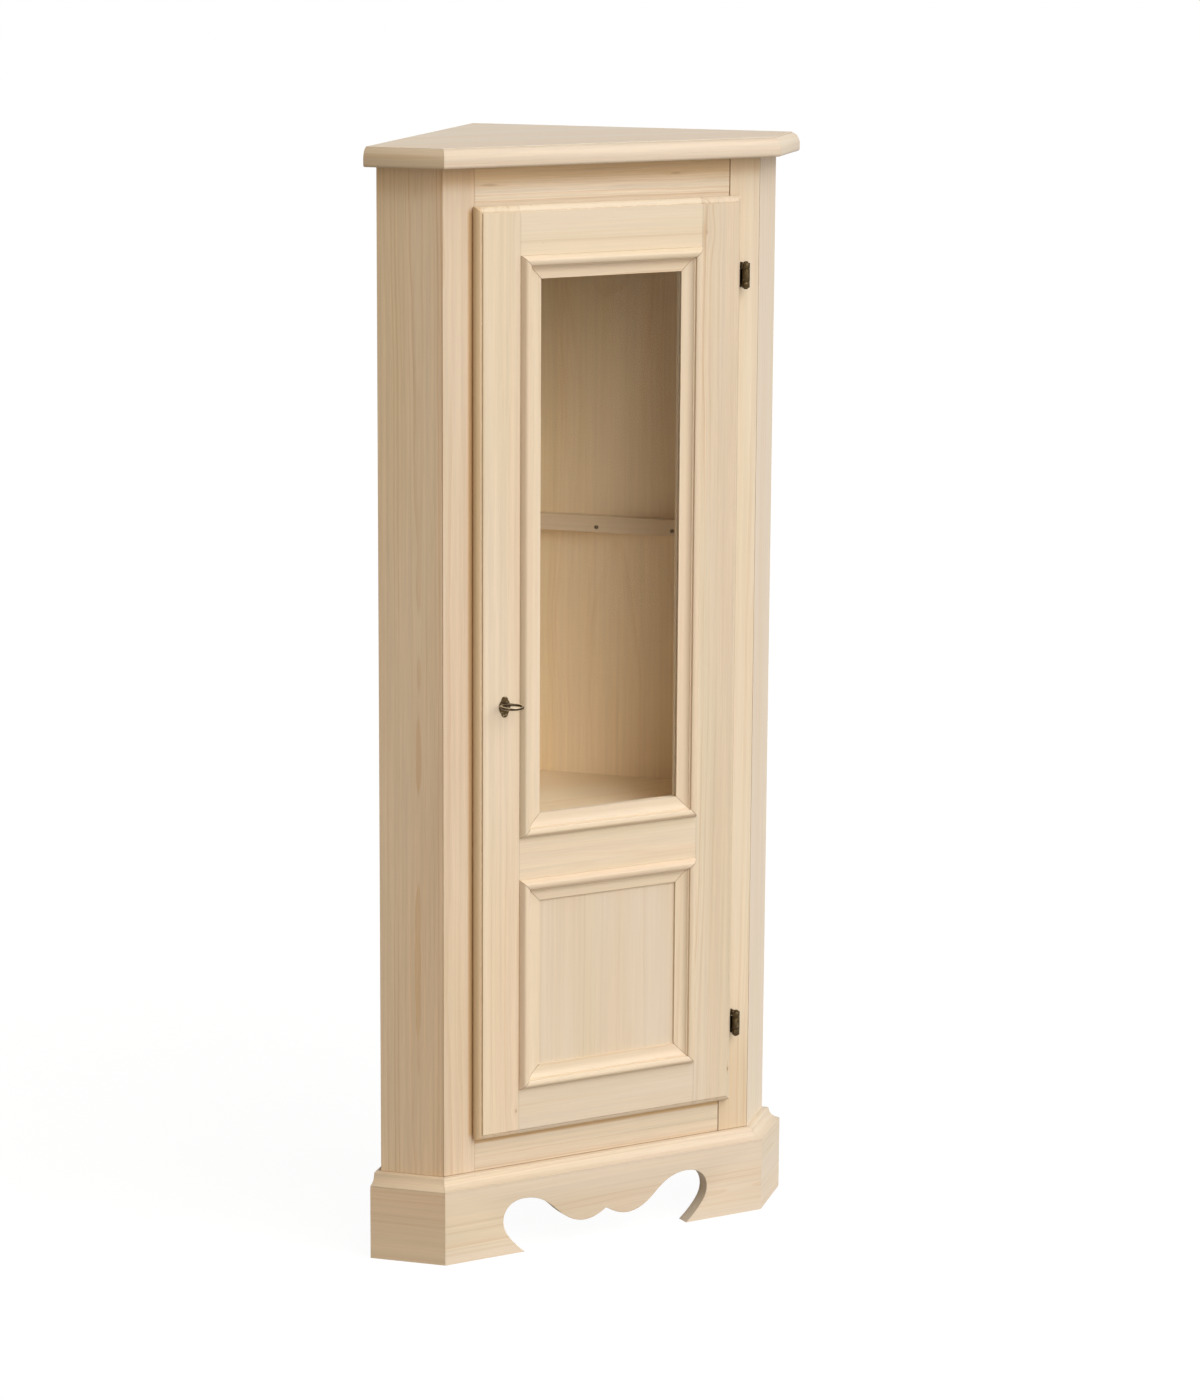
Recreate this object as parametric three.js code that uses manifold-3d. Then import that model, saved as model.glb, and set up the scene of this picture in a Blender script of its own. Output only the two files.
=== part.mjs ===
// A corner cupboard in raw pine: a five-sided carcass that stands in the corner of a room on a
// scrolled plinth, with one door, glazed above and panelled below, hung on two pin hinges and
// locked by a key. Millimetres, +Z up, front facing -Y, origin on the floor at the middle of the
// outer box. The plan is drawn from the room's corner, and the whole group is then moved to its origin.
import * as THREE from "three";
import { mergeVertices } from "three/addons/utils/BufferGeometryUtils.js";
import Module from "manifold-3d";

const wasm = await Module();
wasm.setup();

// Overall
const overallHeight = 1850;
const carcassWidth = 590;
const returnDepth = 110;
const rearOverhang = 9;
const jointGap = 0.3;
const cutOverrun = 2;

// Boards of the carcass
const boardThickness = 20;
const backThickness = 10;
const postWidth = 58.5;
const topRailHeight = 74;
const bottomRailHeight = 68;
const cornerPostWidth = 36;
const shelfThickness = 20;
const middleBoardLevel = 728;

// Shelf battens
const battenLevel = 1187;
const battenHeight = 28;
const battenThickness = 20;
const battenStart = 60;
const battenLength = 332;

// Top board and its edge moulding
const topThickness = 32;
const topSurfaceOverhang = 25;
const topEdgeWidth = 13.5;
const topEdgeQuirk = 1.2;
const topEdgeRound = 18;
const topEdgeUnderRadius = 5.5;

// Base board and its cap moulding
const baseThickness = 19;
const baseProjection = 30;
const baseCapUnder = 25;
const capLedge = 8;
const capRound = 2.5;
const capRoundDrop = 3.2;
const capLip = 6.5;
const capLipThickness = 2;
const capLipRise = 1.2;

// Plinth boards
const plinthBoardHeight = 125;
const plinthBoardThickness = 24;
const archHalfWidth = 197.5;
const archHeight = 94;
const glueBlockSide = 50;
const glueBlockHeight = 100;
const rearFootWidth = 60;

// Half of the plinth's cut-out from its middle point to the tip of the foot. Each row is one curve:
// two control points and an end point, as shares of the half width and of the height.
const archStartShare = 0.56;
const archCurveShares = [
  [0.06, 0.48, 0.13, 0.4, 0.21, 0.4],
  [0.3, 0.4, 0.385, 0.49, 0.47, 0.66],
  [0.567, 0.87, 0.66, 1, 0.8, 1],
  [0.92, 1, 1, 0.85, 1, 0.63],
  [1, 0.47, 0.96, 0.35, 0.9, 0.21],
  [0.86, 0.117, 0.825, 0.053, 0.795, 0],
];
const archCurveSteps = 6;

// Door
const doorLip = 10.5;
const doorThickness = 17.5;
const doorGap = 1.5;
const doorShift = 5.5;
const doorEdgeRadius = 9.5;
const doorEdgeSteps = 4;
const stileWidth = 78;
const doorTopRail = 80;
const doorBottomRail = 80;
const doorLockRail = 71;
const panelOpening = 361;

// Door moulding: a bold outer bead, two fillets and a cove that ends in a thin lip
const mouldingWidth = 38;
const beadRise = 11;
const beadFoot = 2;
const beadCrest = 8;
const beadEnd = 15;
const beadEndRise = 9;
const filletRise = 6.5;
const filletEnd = 17.5;
const coveTopRise = 5;
const coveEnd = 30;
const coveEndRise = 0.5;
const lipRise = 0.2;
const lipDepth = 5;
const rebateWidth = 14;
const mouldingCurveSteps = 5;

// Panel, glass and the beads that hold the glass
const panelThickness = 8;
const glassThickness = 4;
const glassEdgeClearance = 2;

// Hinges
const lowerHingeInset = 138;
const upperHingeInset = 131;
const hingeAxisOut = 7;
const hingeAxisForward = 17;
const hingeHeight = 41;
const middleKnuckleHeight = 21;
const knuckleRadius = 6.5;
const knuckleGap = 0.4;
const pinRadius = 2;
const pinClearance = 0.1;
const pinCapRadius = 3.8;
const pinCapHeight = 2.4;
const leafThickness = 2.4;
const frameLeafDepth = 16;
const doorLeafWidth = 8;
const bridgeSetback = 7.5;
const roundSides = 16;

// Lock, key and escutcheon
const lockInset = 50;
const lockLevel = 943;
const lockCaseWidth = 52;
const lockCaseHeight = 58;
const lockCaseDepth = 12;
const lockCaseWall = 1.5;
const lockCaseEdge = 3;
const boltHeight = 8;
const boltThickness = 4;
const boltDrop = 9;
const boltLength = 46;
const boltClearance = 0.5;
const strikeThickness = 1.2;
const strikeWidth = 14;
const strikeHeight = 44;
const strikeSetback = 1.5;
const pocketDepth = 12;
const keyShankRadius = 2.5;
const keyTipDepth = 8.5;
const keyBitLength = 8;
const keyBitHeight = 5;
const keyBitThickness = 2;
const keyholeRadius = 3.2;
const keyholeSlotWidth = 3;
const keyholeSlotDrop = 9;
const bowStart = 6;
const bowWidth = 38.5;
const bowLength = 41;
const bowBar = 3.4;
const bowBarSides = 8;
const bowSteps = 24;
const collarRadius = 4;
const collarLength = 3;
const escutcheonHeight = 35;
const escutcheonWidth = 21;
const escutcheonThickness = 1.6;
const escutcheonDrop = 4.5;

// Half of the escutcheon's outline, from its top point to its bottom point: curves of two control
// points and an end point, as shares of the half width and of the half height.
const escutcheonCurveShares = [
  [0.3, 1, 0.52, 0.9, 0.55, 0.72],
  [0.58, 0.58, 1, 0.42, 1, 0],
  [1, -0.42, 0.58, -0.58, 0.55, -0.72],
  [0.52, -0.9, 0.3, -1, 0, -1],
];
const escutcheonCurveSteps = 4;

// Worked out from the sizes above. The front meets each return at an angle of 45 degrees.
const mitre = Math.tan(Math.PI / 8);
const squareMitre = 1;
const diagonal = Math.SQRT1_2;
const halfWidth = carcassWidth / 2;
const wallLength = halfWidth / diagonal + returnDepth;
const frontPlane = -(wallLength + returnDepth) * diagonal;
const carcassTop = overallHeight - topThickness;
const plinthHeight = plinthBoardHeight + baseThickness;
const openingHalf = halfWidth - postWidth;
const openingBottom = plinthHeight + bottomRailHeight;
const openingTop = carcassTop - topRailHeight;
const doorHalf = openingHalf + doorLip;
const doorBottom = openingBottom - doorLip;
const doorTop = openingTop + doorLip;
const doorBack = frontPlane - doorGap;
const doorFace = doorBack - doorThickness;
const panelBottom = doorBottom + doorBottomRail;
const panelTop = panelBottom + panelOpening;
const glassBottom = panelTop + doorLockRail;
const glassTop = doorTop - doorTopRail;
const frameHalf = doorHalf - stileWidth;
const hingeX = doorHalf + doorShift + hingeAxisOut;
const hingeY = frontPlane - hingeAxisForward;
const keyX = -doorHalf + lockInset;
const keyFront = doorFace - bowStart - bowLength;
const rearPoint = rearOverhang / diagonal;
const originY = (keyFront + rearPoint) / 2;

// A point of the plan given along the right wall and square to it, into the room.
function wallPoint(along, inward, side) {
  return [side * (along - inward) * diagonal, -(along + inward) * diagonal];
}

// The corners of the carcass's plan moved out by one distance at the front and returns, and by
// another at the two walls. Negative distances move them in.
function planCorners(out, rear) {
  const frontCorner = [halfWidth + out * mitre, frontPlane - out];
  const wallCorner = wallPoint(wallLength + out, -rear, 1);
  return { frontCorner, wallCorner, backCorner: [0, rear / diagonal] };
}

function mirrored(point) {
  return [-point[0], point[1]];
}

function planOutline(out, rear) {
  const { frontCorner, wallCorner, backCorner } = planCorners(out, rear);
  return [
    backCorner,
    wallCorner,
    frontCorner,
    mirrored(frontCorner),
    mirrored(wallCorner),
  ];
}

// Geometry helpers
function shapeOf(points) {
  return new THREE.Shape(points.map(([x, y]) => new THREE.Vector2(x, y)));
}

function prism(points, bottom, top) {
  const settings = { depth: top - bottom, bevelEnabled: false };
  return new THREE.ExtrudeGeometry(shapeOf(points), settings).translate(0, 0, bottom);
}

function block(x0, x1, y0, y1, z0, z1) {
  const geometry = new THREE.BoxGeometry(x1 - x0, y1 - y0, z1 - z0);
  return geometry.translate((x0 + x1) / 2, (y0 + y1) / 2, (z0 + z1) / 2);
}

// A cylinder whose axis runs along Z or along Y.
function rod(radius, from, to, x, other, axis) {
  const geometry = new THREE.CylinderGeometry(radius, radius, to - from, roundSides);
  if (axis === "z") {
    return geometry.rotateX(Math.PI / 2).translate(x, other, (from + to) / 2);
  }
  return geometry.translate(x, (from + to) / 2, other);
}

function solidOf(geometry) {
  const bare = geometry.clone();
  bare.deleteAttribute("normal");
  bare.deleteAttribute("uv");
  const merged = mergeVertices(bare);
  return new wasm.Manifold(
    new wasm.Mesh({
      numProp: 3,
      vertProperties: merged.attributes.position.array,
      triVerts: new Uint32Array(merged.index.array),
    }),
  );
}

function geometryOf(solid) {
  const mesh = solid.getMesh();
  const geometry = new THREE.BufferGeometry();
  geometry.setAttribute("position", new THREE.BufferAttribute(mesh.vertProperties, mesh.numProp));
  geometry.setIndex(new THREE.BufferAttribute(mesh.triVerts, 1));
  geometry.computeVertexNormals();
  return geometry;
}

function joined(...geometries) {
  return geometryOf(geometries.map(solidOf).reduce((sum, next) => sum.add(next)));
}

function cut(geometry, ...tools) {
  return geometryOf(tools.map(solidOf).reduce((rest, tool) => rest.subtract(tool), solidOf(geometry)));
}

function common(first, second) {
  return geometryOf(solidOf(first).intersect(solidOf(second)));
}

// A moulding of a given profile, whose first coordinate runs across it and whose second is its
// height. Each end is sheared into a mitre: a point further across ends that much sooner.
function moulding(profile, length, startMitre, endMitre, steps) {
  const settings = { depth: length, bevelEnabled: false, curveSegments: steps };
  const geometry = new THREE.ExtrudeGeometry(profile, settings);
  const place = geometry.attributes.position;
  for (let i = 0; i < place.count; i += 1) {
    const atEnd = place.getZ(i) > length / 2;
    const shift = place.getX(i) * (atEnd ? -endMitre : startMitre);
    place.setZ(i, place.getZ(i) + shift + (atEnd ? -jointGap : jointGap) / 2);
  }
  return geometry;
}

// Lays a moulding from a start point, given the way it faces across and the way it rises.
function laid(geometry, start, across, rise) {
  const along = new THREE.Vector3().crossVectors(across, rise);
  const basis = new THREE.Matrix4().makeBasis(across, rise, along);
  return geometry.applyMatrix4(basis.setPosition(start));
}

const up = new THREE.Vector3(0, 0, 1);
const toRoom = new THREE.Vector3(0, -1, 0);

// Materials
const pineTones = [0xe2caa6, 0xdcc29c, 0xe6d0ae, 0xd8bd96];
let pineCount = 0;

function pine() {
  pineCount += 1;
  const color = pineTones[pineCount % pineTones.length];
  return new THREE.MeshStandardMaterial({ color, roughness: 0.62, metalness: 0 });
}

function plywood() {
  return new THREE.MeshStandardMaterial({ color: 0xcdb08a, roughness: 0.7, metalness: 0 });
}

function bronze() {
  return new THREE.MeshStandardMaterial({ color: 0x4a3b28, roughness: 0.38, metalness: 1 });
}

function steel() {
  return new THREE.MeshStandardMaterial({ color: 0x9b9a96, roughness: 0.35, metalness: 1 });
}

function glass() {
  return new THREE.MeshStandardMaterial({ color: 0xe9f0ee, roughness: 0.03, metalness: 0 });
}

const cupboard = new THREE.Group();
const carcass = new THREE.Group();
const door = new THREE.Group();
cupboard.add(carcass, door);
door.position.x = doorShift;
cupboard.position.y = -originY;

function addPiece(parent, name, geometry, material) {
  const mesh = new THREE.Mesh(geometry, material);
  mesh.name = name;
  parent.add(mesh);
}

const sides = [
  ["left", -1],
  ["right", 1],
];

// The three strips that edge a board round its front and returns. Their inner face lies on the
// plan moved out by the inner distance, and their wall ends are square.
function addEdgeStrips(names, profile, inner, bottom, steps) {
  const { frontCorner, wallCorner } = planCorners(inner, rearOverhang);
  const frontLength = frontCorner[0] * 2;
  const sideLength = Math.hypot(wallCorner[0] - frontCorner[0], wallCorner[1] - frontCorner[1]);
  const frontStart = new THREE.Vector3(frontCorner[0], frontCorner[1], bottom);
  const front = moulding(profile, frontLength, -mitre, -mitre, steps);
  addPiece(carcass, names[0], laid(front, frontStart, toRoom, up), pine());
  const leftStart = new THREE.Vector3(-frontCorner[0], frontCorner[1], bottom);
  const leftAcross = new THREE.Vector3(-diagonal, -diagonal, 0);
  const left = moulding(profile, sideLength, -mitre, 0, steps);
  addPiece(carcass, names[1], laid(left, leftStart, leftAcross, up), pine());
  const rightStart = new THREE.Vector3(wallCorner[0], wallCorner[1], bottom);
  const rightAcross = new THREE.Vector3(diagonal, -diagonal, 0);
  const right = moulding(profile, sideLength, 0, -mitre, steps);
  addPiece(carcass, names[2], laid(right, rightStart, rightAcross, up), pine());
}

// Top: a five-sided board with a rounded strip along its front and returns
function topEdgeProfile() {
  const profile = new THREE.Shape();
  const roundTop = topThickness - topEdgeQuirk;
  profile.moveTo(0, 0);
  profile.lineTo(topEdgeWidth - topEdgeUnderRadius, 0);
  profile.quadraticCurveTo(topEdgeWidth, 0, topEdgeWidth, topEdgeUnderRadius);
  profile.lineTo(topEdgeWidth, roundTop - topEdgeRound);
  profile.bezierCurveTo(
    topEdgeWidth,
    roundTop - topEdgeRound / 2,
    topEdgeWidth / 2,
    roundTop,
    0,
    roundTop,
  );
  return profile;
}

function addTop() {
  const outline = planOutline(topSurfaceOverhang - jointGap, rearOverhang);
  addPiece(carcass, "top_panel", prism(outline, carcassTop, overallHeight), pine());
  const names = ["top_edge_front", "top_edge_left", "top_edge_right"];
  addEdgeStrips(names, topEdgeProfile(), topSurfaceOverhang, carcassTop, mouldingCurveSteps);
}

// Base: a board under the carcass whose edge strips carry the cap profile of the plinth
function baseCapProfile() {
  const width = baseCapUnder + baseProjection;
  const ledgeEnd = baseCapUnder + capLedge;
  const lipStart = width - capLip;
  const lipTop = capLipThickness + capLipRise;
  const profile = new THREE.Shape();
  profile.moveTo(0, 0);
  profile.lineTo(width, 0);
  profile.lineTo(width, capLipThickness);
  profile.lineTo(lipStart, lipTop);
  profile.quadraticCurveTo(
    ledgeEnd + capRound * 2,
    lipTop + capLipThickness,
    ledgeEnd + capRound,
    baseThickness - capRoundDrop,
  );
  profile.quadraticCurveTo(ledgeEnd + capRound, baseThickness, ledgeEnd, baseThickness);
  profile.lineTo(0, baseThickness);
  return profile;
}

function addBase() {
  const outline = planOutline(-baseCapUnder - jointGap, rearOverhang);
  addPiece(carcass, "base_panel", prism(outline, plinthBoardHeight, plinthHeight), pine());
  const names = ["base_cap_front", "base_cap_left", "base_cap_right"];
  addEdgeStrips(names, baseCapProfile(), -baseCapUnder, plinthBoardHeight, mouldingCurveSteps);
}

// The plan of a board along one return, held off the front board by the gap.
function returnOutline(outer, inner, side) {
  const shifted = ([x, y]) => [side * (x + jointGap * diagonal), y + jointGap * diagonal];
  const straight = ([x, y]) => [side * x, y];
  return [
    shifted(outer.frontCorner),
    straight(outer.wallCorner),
    straight(inner.wallCorner),
    shifted(inner.frontCorner),
  ];
}

// Plinth: three boards under the base, the front one cut to a double scroll
function plinthFrontShape(halfLength, height) {
  const shape = new THREE.Shape();
  const at = (share) => share * archHalfWidth;
  const high = (share) => share * archHeight;
  const last = archCurveShares.length - 1;
  shape.moveTo(-halfLength, 0);
  shape.lineTo(-at(archCurveShares[last][4]), 0);
  for (let i = last; i >= 0; i -= 1) {
    const [ax, az, bx, bz] = archCurveShares[i];
    const [endX, endZ] = i > 0 ? archCurveShares[i - 1].slice(4) : [0, archStartShare];
    shape.bezierCurveTo(-at(bx), high(bz), -at(ax), high(az), -at(endX), high(endZ));
  }
  for (const [ax, az, bx, bz, endX, endZ] of archCurveShares) {
    shape.bezierCurveTo(at(ax), high(az), at(bx), high(bz), at(endX), high(endZ));
  }
  shape.lineTo(halfLength, 0);
  shape.lineTo(halfLength, height);
  shape.lineTo(-halfLength, height);
  return shape;
}

function addPlinth() {
  const height = plinthBoardHeight - jointGap;
  const outer = planCorners(baseProjection, rearOverhang);
  const inner = planCorners(baseProjection - plinthBoardThickness, rearOverhang);
  const halfLength = outer.frontCorner[0];
  const settings = {
    depth: plinthBoardThickness,
    bevelEnabled: false,
    curveSegments: archCurveSteps,
  };
  const front = new THREE.ExtrudeGeometry(plinthFrontShape(halfLength, height), settings);
  front.rotateX(Math.PI / 2).translate(0, outer.frontCorner[1] + plinthBoardThickness, 0);
  const place = front.attributes.position;
  for (let i = 0; i < place.count; i += 1) {
    const x = place.getX(i);
    if (Math.abs(x) > archHalfWidth + cutOverrun) {
      const back = place.getY(i) > outer.frontCorner[1] + plinthBoardThickness / 2;
      place.setX(i, Math.sign(x) * (back ? inner.frontCorner[0] : outer.frontCorner[0]));
    }
  }
  addPiece(carcass, "plinth_front", front, pine());
  const blockInner = planCorners(baseProjection - plinthBoardThickness - jointGap, rearOverhang);
  for (const [name, side] of sides) {
    const board = prism(returnOutline(outer, inner, side), 0, height);
    addPiece(carcass, `plinth_${name}`, board, pine());
    const [cornerX, cornerY] = blockInner.frontCorner;
    const reach = glueBlockSide * diagonal;
    const blockOutline = [
      [side * cornerX, cornerY],
      [side * (cornerX + reach), cornerY + reach],
      [side * (cornerX - glueBlockSide), cornerY],
    ];
    const glueBlock = prism(blockOutline, height - glueBlockHeight, height);
    addPiece(carcass, `plinth_block_${name}`, glueBlock, pine());
  }
  const foot = [
    wallPoint(0, 0, 1),
    wallPoint(rearFootWidth, 0, 1),
    wallPoint(rearFootWidth, rearFootWidth, 1),
    wallPoint(0, rearFootWidth, 1),
  ];
  addPiece(carcass, "rear_foot", prism(foot, 0, height), pine());
}

// Carcass: face frame, two returns, two backs and a post in the rear corner
function boltPocket() {
  const z0 = lockLevel - boltDrop - boltHeight - boltClearance * 2;
  const z1 = lockLevel - boltDrop + boltClearance * 2;
  const middle = doorBack + lockCaseDepth / 2;
  const halfDepth = boltThickness / 2 + boltClearance * 2;
  const edge = -openingHalf;
  return block(edge - pocketDepth, edge + cutOverrun, middle - halfDepth, middle + halfDepth, z0, z1);
}

function strikeBlock(growth) {
  const front = frontPlane + strikeSetback;
  const middle = lockLevel - boltDrop - boltHeight / 2;
  return block(
    -openingHalf - strikeThickness - growth,
    -openingHalf + (growth > 0 ? cutOverrun : 0),
    front - growth,
    front + strikeWidth + growth,
    middle - strikeHeight / 2 - growth,
    middle + strikeHeight / 2 + growth,
  );
}

function hingeLevels() {
  return [
    ["upper_hinge", doorTop - upperHingeInset],
    ["lower_hinge", doorBottom + lowerHingeInset],
  ];
}

function hingeMortises() {
  const half = leafThickness / 2 + jointGap;
  return hingeLevels().map(([, level]) =>
    block(
      hingeX - half,
      hingeX + half,
      frontPlane - cutOverrun,
      frontPlane + frameLeafDepth + jointGap,
      level - hingeHeight / 2 - jointGap,
      level + hingeHeight / 2 + jointGap,
    ),
  );
}

function addCarcass() {
  const bottom = plinthHeight + jointGap;
  const top = carcassTop - jointGap;
  const outer = planCorners(0, 0);
  const inner = planCorners(-boardThickness, 0);
  const [cornerX, cornerY] = outer.frontCorner;
  const [innerX, innerY] = inner.frontCorner;
  for (const [name, side] of sides) {
    const postOutline = [
      [side * openingHalf, cornerY],
      [side * cornerX, cornerY],
      [side * innerX, innerY],
      [side * openingHalf, innerY],
    ];
    const post = prism(postOutline, bottom, top);
    const worked =
      name === "left"
        ? cut(post, boltPocket(), strikeBlock(jointGap / 2))
        : cut(post, ...hingeMortises());
    addPiece(carcass, `${name}_post`, worked, pine());
    const sideBoard = prism(returnOutline(outer, inner, side), bottom, top);
    addPiece(carcass, `${name}_side`, sideBoard, pine());
    const backStart = cornerPostWidth + jointGap;
    const backEnd = wallLength - boardThickness - jointGap;
    const backOutline = [
      wallPoint(backStart, 0, side),
      wallPoint(backEnd, 0, side),
      wallPoint(backEnd, backThickness, side),
      wallPoint(backStart, backThickness, side),
    ];
    addPiece(carcass, `${name}_back`, prism(backOutline, bottom, top), plywood());
    const battenFace = backThickness + jointGap;
    const battenOutline = [
      wallPoint(battenStart, battenFace, side),
      wallPoint(battenStart + battenLength, battenFace, side),
      wallPoint(battenStart + battenLength, battenFace + battenThickness, side),
      wallPoint(battenStart, battenFace + battenThickness, side),
    ];
    const batten = prism(battenOutline, battenLevel - battenHeight, battenLevel);
    addPiece(carcass, `shelf_batten_${name}`, batten, pine());
  }
  const postOutline = [
    wallPoint(0, 0, 1),
    wallPoint(cornerPostWidth, 0, 1),
    wallPoint(cornerPostWidth, cornerPostWidth, 1),
    wallPoint(0, cornerPostWidth, 1),
  ];
  addPiece(carcass, "rear_corner_post", prism(postOutline, bottom, top), pine());
  const railHalf = openingHalf - jointGap;
  const topRail = block(-railHalf, railHalf, cornerY, innerY, openingTop, top);
  addPiece(carcass, "frame_top_rail", topRail, pine());
  const bottomRail = block(-railHalf, railHalf, cornerY, innerY, bottom, openingBottom);
  addPiece(carcass, "frame_bottom_rail", bottomRail, pine());
  addPiece(carcass, "strike_plate", cut(strikeBlock(0), boltPocket()), steel());
}

// A horizontal board inside the carcass, notched round the rear corner post.
function insideBoard(bottom, top) {
  const front = planCorners(-boardThickness - jointGap, 0).frontCorner;
  const sideLine = wallLength - boardThickness - jointGap;
  const back = backThickness + jointGap;
  const notch = cornerPostWidth + jointGap;
  const right = [
    wallPoint(notch, notch, 1),
    wallPoint(notch, back, 1),
    wallPoint(sideLine, back, 1),
    front,
  ];
  const left = right.slice(1).map(mirrored).reverse();
  return prism([...right, ...left], bottom, top);
}

function addInsideBoards() {
  const floor = insideBoard(openingBottom - shelfThickness, openingBottom);
  addPiece(carcass, "floor_board", floor, pine());
  const middle = insideBoard(middleBoardLevel - shelfThickness, middleBoardLevel);
  addPiece(carcass, "middle_board", middle, pine());
}

// Door: stiles and rails with a rounded outer edge, mouldings, glass and a flat panel
function doorEnvelope() {
  const radius = doorEdgeRadius;
  const outline = [
    [-doorHalf, doorBottom],
    [doorHalf, doorBottom],
    [doorHalf, doorTop],
    [-doorHalf, doorTop],
  ];
  const settings = {
    depth: doorThickness,
    bevelEnabled: true,
    bevelThickness: radius,
    bevelSize: radius,
    bevelOffset: -radius,
    bevelSegments: doorEdgeSteps,
  };
  const geometry = new THREE.ExtrudeGeometry(shapeOf(outline), settings);
  return geometry.rotateX(Math.PI / 2).translate(0, doorFace + radius + doorThickness, 0);
}

function keyholeCutters(front, back) {
  const lowest = lockLevel - keyholeSlotDrop;
  return [
    rod(keyholeRadius, front, back, keyX, lockLevel, "y"),
    block(keyX - keyholeSlotWidth / 2, keyX + keyholeSlotWidth / 2, front, back, lowest, lockLevel),
  ];
}

// The shallow recesses in the door's hinge edge that take the leaves.
function leafRecesses() {
  return hingeLevels().map(([, level]) =>
    block(
      doorHalf - leafThickness - jointGap,
      doorHalf + cutOverrun,
      doorBack - doorGap - doorLeafWidth - jointGap,
      doorBack + cutOverrun,
      level - middleKnuckleHeight / 2 - jointGap,
      level + middleKnuckleHeight / 2 + jointGap,
    ),
  );
}

function addDoorFrame() {
  const envelope = doorEnvelope();
  const member = (x0, x1, z0, z1) => common(block(x0, x1, doorFace, doorBack, z0, z1), envelope);
  const leftStile = member(-doorHalf, -frameHalf, doorBottom, doorTop);
  const keyhole = keyholeCutters(doorFace - cutOverrun, doorBack + cutOverrun);
  addPiece(door, "door_left_stile", cut(leftStile, ...keyhole), pine());
  const rightStile = member(frameHalf, doorHalf, doorBottom, doorTop);
  addPiece(door, "door_right_stile", cut(rightStile, ...leafRecesses()), pine());
  const railHalf = frameHalf - jointGap;
  const rails = [
    ["door_top_rail", glassTop, doorTop],
    ["door_lock_rail", panelTop, glassBottom],
    ["door_bottom_rail", doorBottom, panelBottom],
  ];
  for (const [name, z0, z1] of rails) {
    addPiece(door, name, member(-railHalf, railHalf, z0, z1), pine());
  }
}

function doorMouldingProfile() {
  const profile = new THREE.Shape();
  const rebate = mouldingWidth - rebateWidth;
  profile.moveTo(0, -doorThickness);
  profile.lineTo(rebate, -doorThickness);
  profile.lineTo(rebate, -lipDepth);
  profile.lineTo(mouldingWidth, -lipDepth);
  profile.lineTo(mouldingWidth, -lipRise);
  profile.lineTo(coveEnd, coveEndRise);
  profile.quadraticCurveTo(filletEnd, coveEndRise, filletEnd, coveTopRise);
  profile.lineTo(filletEnd, filletRise);
  profile.lineTo(beadEnd, filletRise);
  profile.lineTo(beadEnd, beadEndRise);
  profile.quadraticCurveTo((beadCrest + beadEnd) / 2, beadRise, beadCrest, beadRise);
  profile.quadraticCurveTo(beadFoot / 2, beadRise, 0, beadFoot);
  return profile;
}

// Four mitred strips inside one opening of the door.
function addMouldingFrame(prefix, bottom, top) {
  const half = frameHalf - jointGap;
  const z0 = bottom + jointGap;
  const z1 = top - jointGap;
  const strips = [
    ["top", half * 2, [half, z1], [0, -1]],
    ["bottom", half * 2, [-half, z0], [0, 1]],
    ["left", z1 - z0, [-half, z1], [1, 0]],
    ["right", z1 - z0, [half, z0], [-1, 0]],
  ];
  for (const [name, length, [x, z], [acrossX, acrossZ]] of strips) {
    const geometry = moulding(
      doorMouldingProfile(),
      length,
      squareMitre,
      squareMitre,
      mouldingCurveSteps,
    );
    const start = new THREE.Vector3(x, doorFace, z);
    const across = new THREE.Vector3(acrossX, 0, acrossZ);
    addPiece(door, `${prefix}_moulding_${name}`, laid(geometry, start, across, toRoom), pine());
  }
}

function addDoorInfill() {
  addMouldingFrame("glass", glassBottom, glassTop);
  addMouldingFrame("panel", panelBottom, panelTop);
  const reach = mouldingWidth - rebateWidth + jointGap * 2;
  const seat = doorFace + lipDepth + jointGap;
  const panelHalf = frameHalf - reach;
  const panel = block(
    -panelHalf,
    panelHalf,
    seat,
    seat + panelThickness,
    panelBottom + reach,
    panelTop - reach,
  );
  addPiece(door, "door_panel", panel, plywood());
  const paneHalf = panelHalf - glassEdgeClearance;
  const paneBottom = glassBottom + reach + glassEdgeClearance;
  const paneTop = glassTop - reach - glassEdgeClearance;
  const pane = block(-paneHalf, paneHalf, seat, seat + glassThickness, paneBottom, paneTop);
  addPiece(door, "glass_pane", pane, glass());
  addGlassBeads(seat + glassThickness + jointGap, reach);
}

// Four square beads behind the glass: the upright ones fit between the other two.
function addGlassBeads(front, reach) {
  const outerHalf = frameHalf - reach;
  const width = rebateWidth - jointGap * 2;
  const innerHalf = outerHalf - width;
  const low = glassBottom + reach;
  const high = glassTop - reach;
  const beads = [
    ["glass_bead_top", -outerHalf, outerHalf, high - width, high],
    ["glass_bead_bottom", -outerHalf, outerHalf, low, low + width],
    ["glass_bead_left", -outerHalf, -innerHalf, low + width + jointGap, high - width - jointGap],
    ["glass_bead_right", innerHalf, outerHalf, low + width + jointGap, high - width - jointGap],
  ];
  for (const [name, x0, x1, z0, z1] of beads) {
    addPiece(door, name, block(x0, x1, front, doorBack, z0, z1), pine());
  }
}

// Hinges: two outer knuckles on a plate let into the post, and a middle one on a leaf let into
// the door's edge, with a bridge behind it, turning round a loose pin with a small cap at each end
function knuckle(x, z0, z1) {
  const tube = rod(knuckleRadius, z0, z1, x, hingeY, "z");
  const bore = rod(pinRadius + pinClearance, z0 - cutOverrun, z1 + cutOverrun, x, hingeY, "z");
  return [tube, bore];
}

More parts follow.
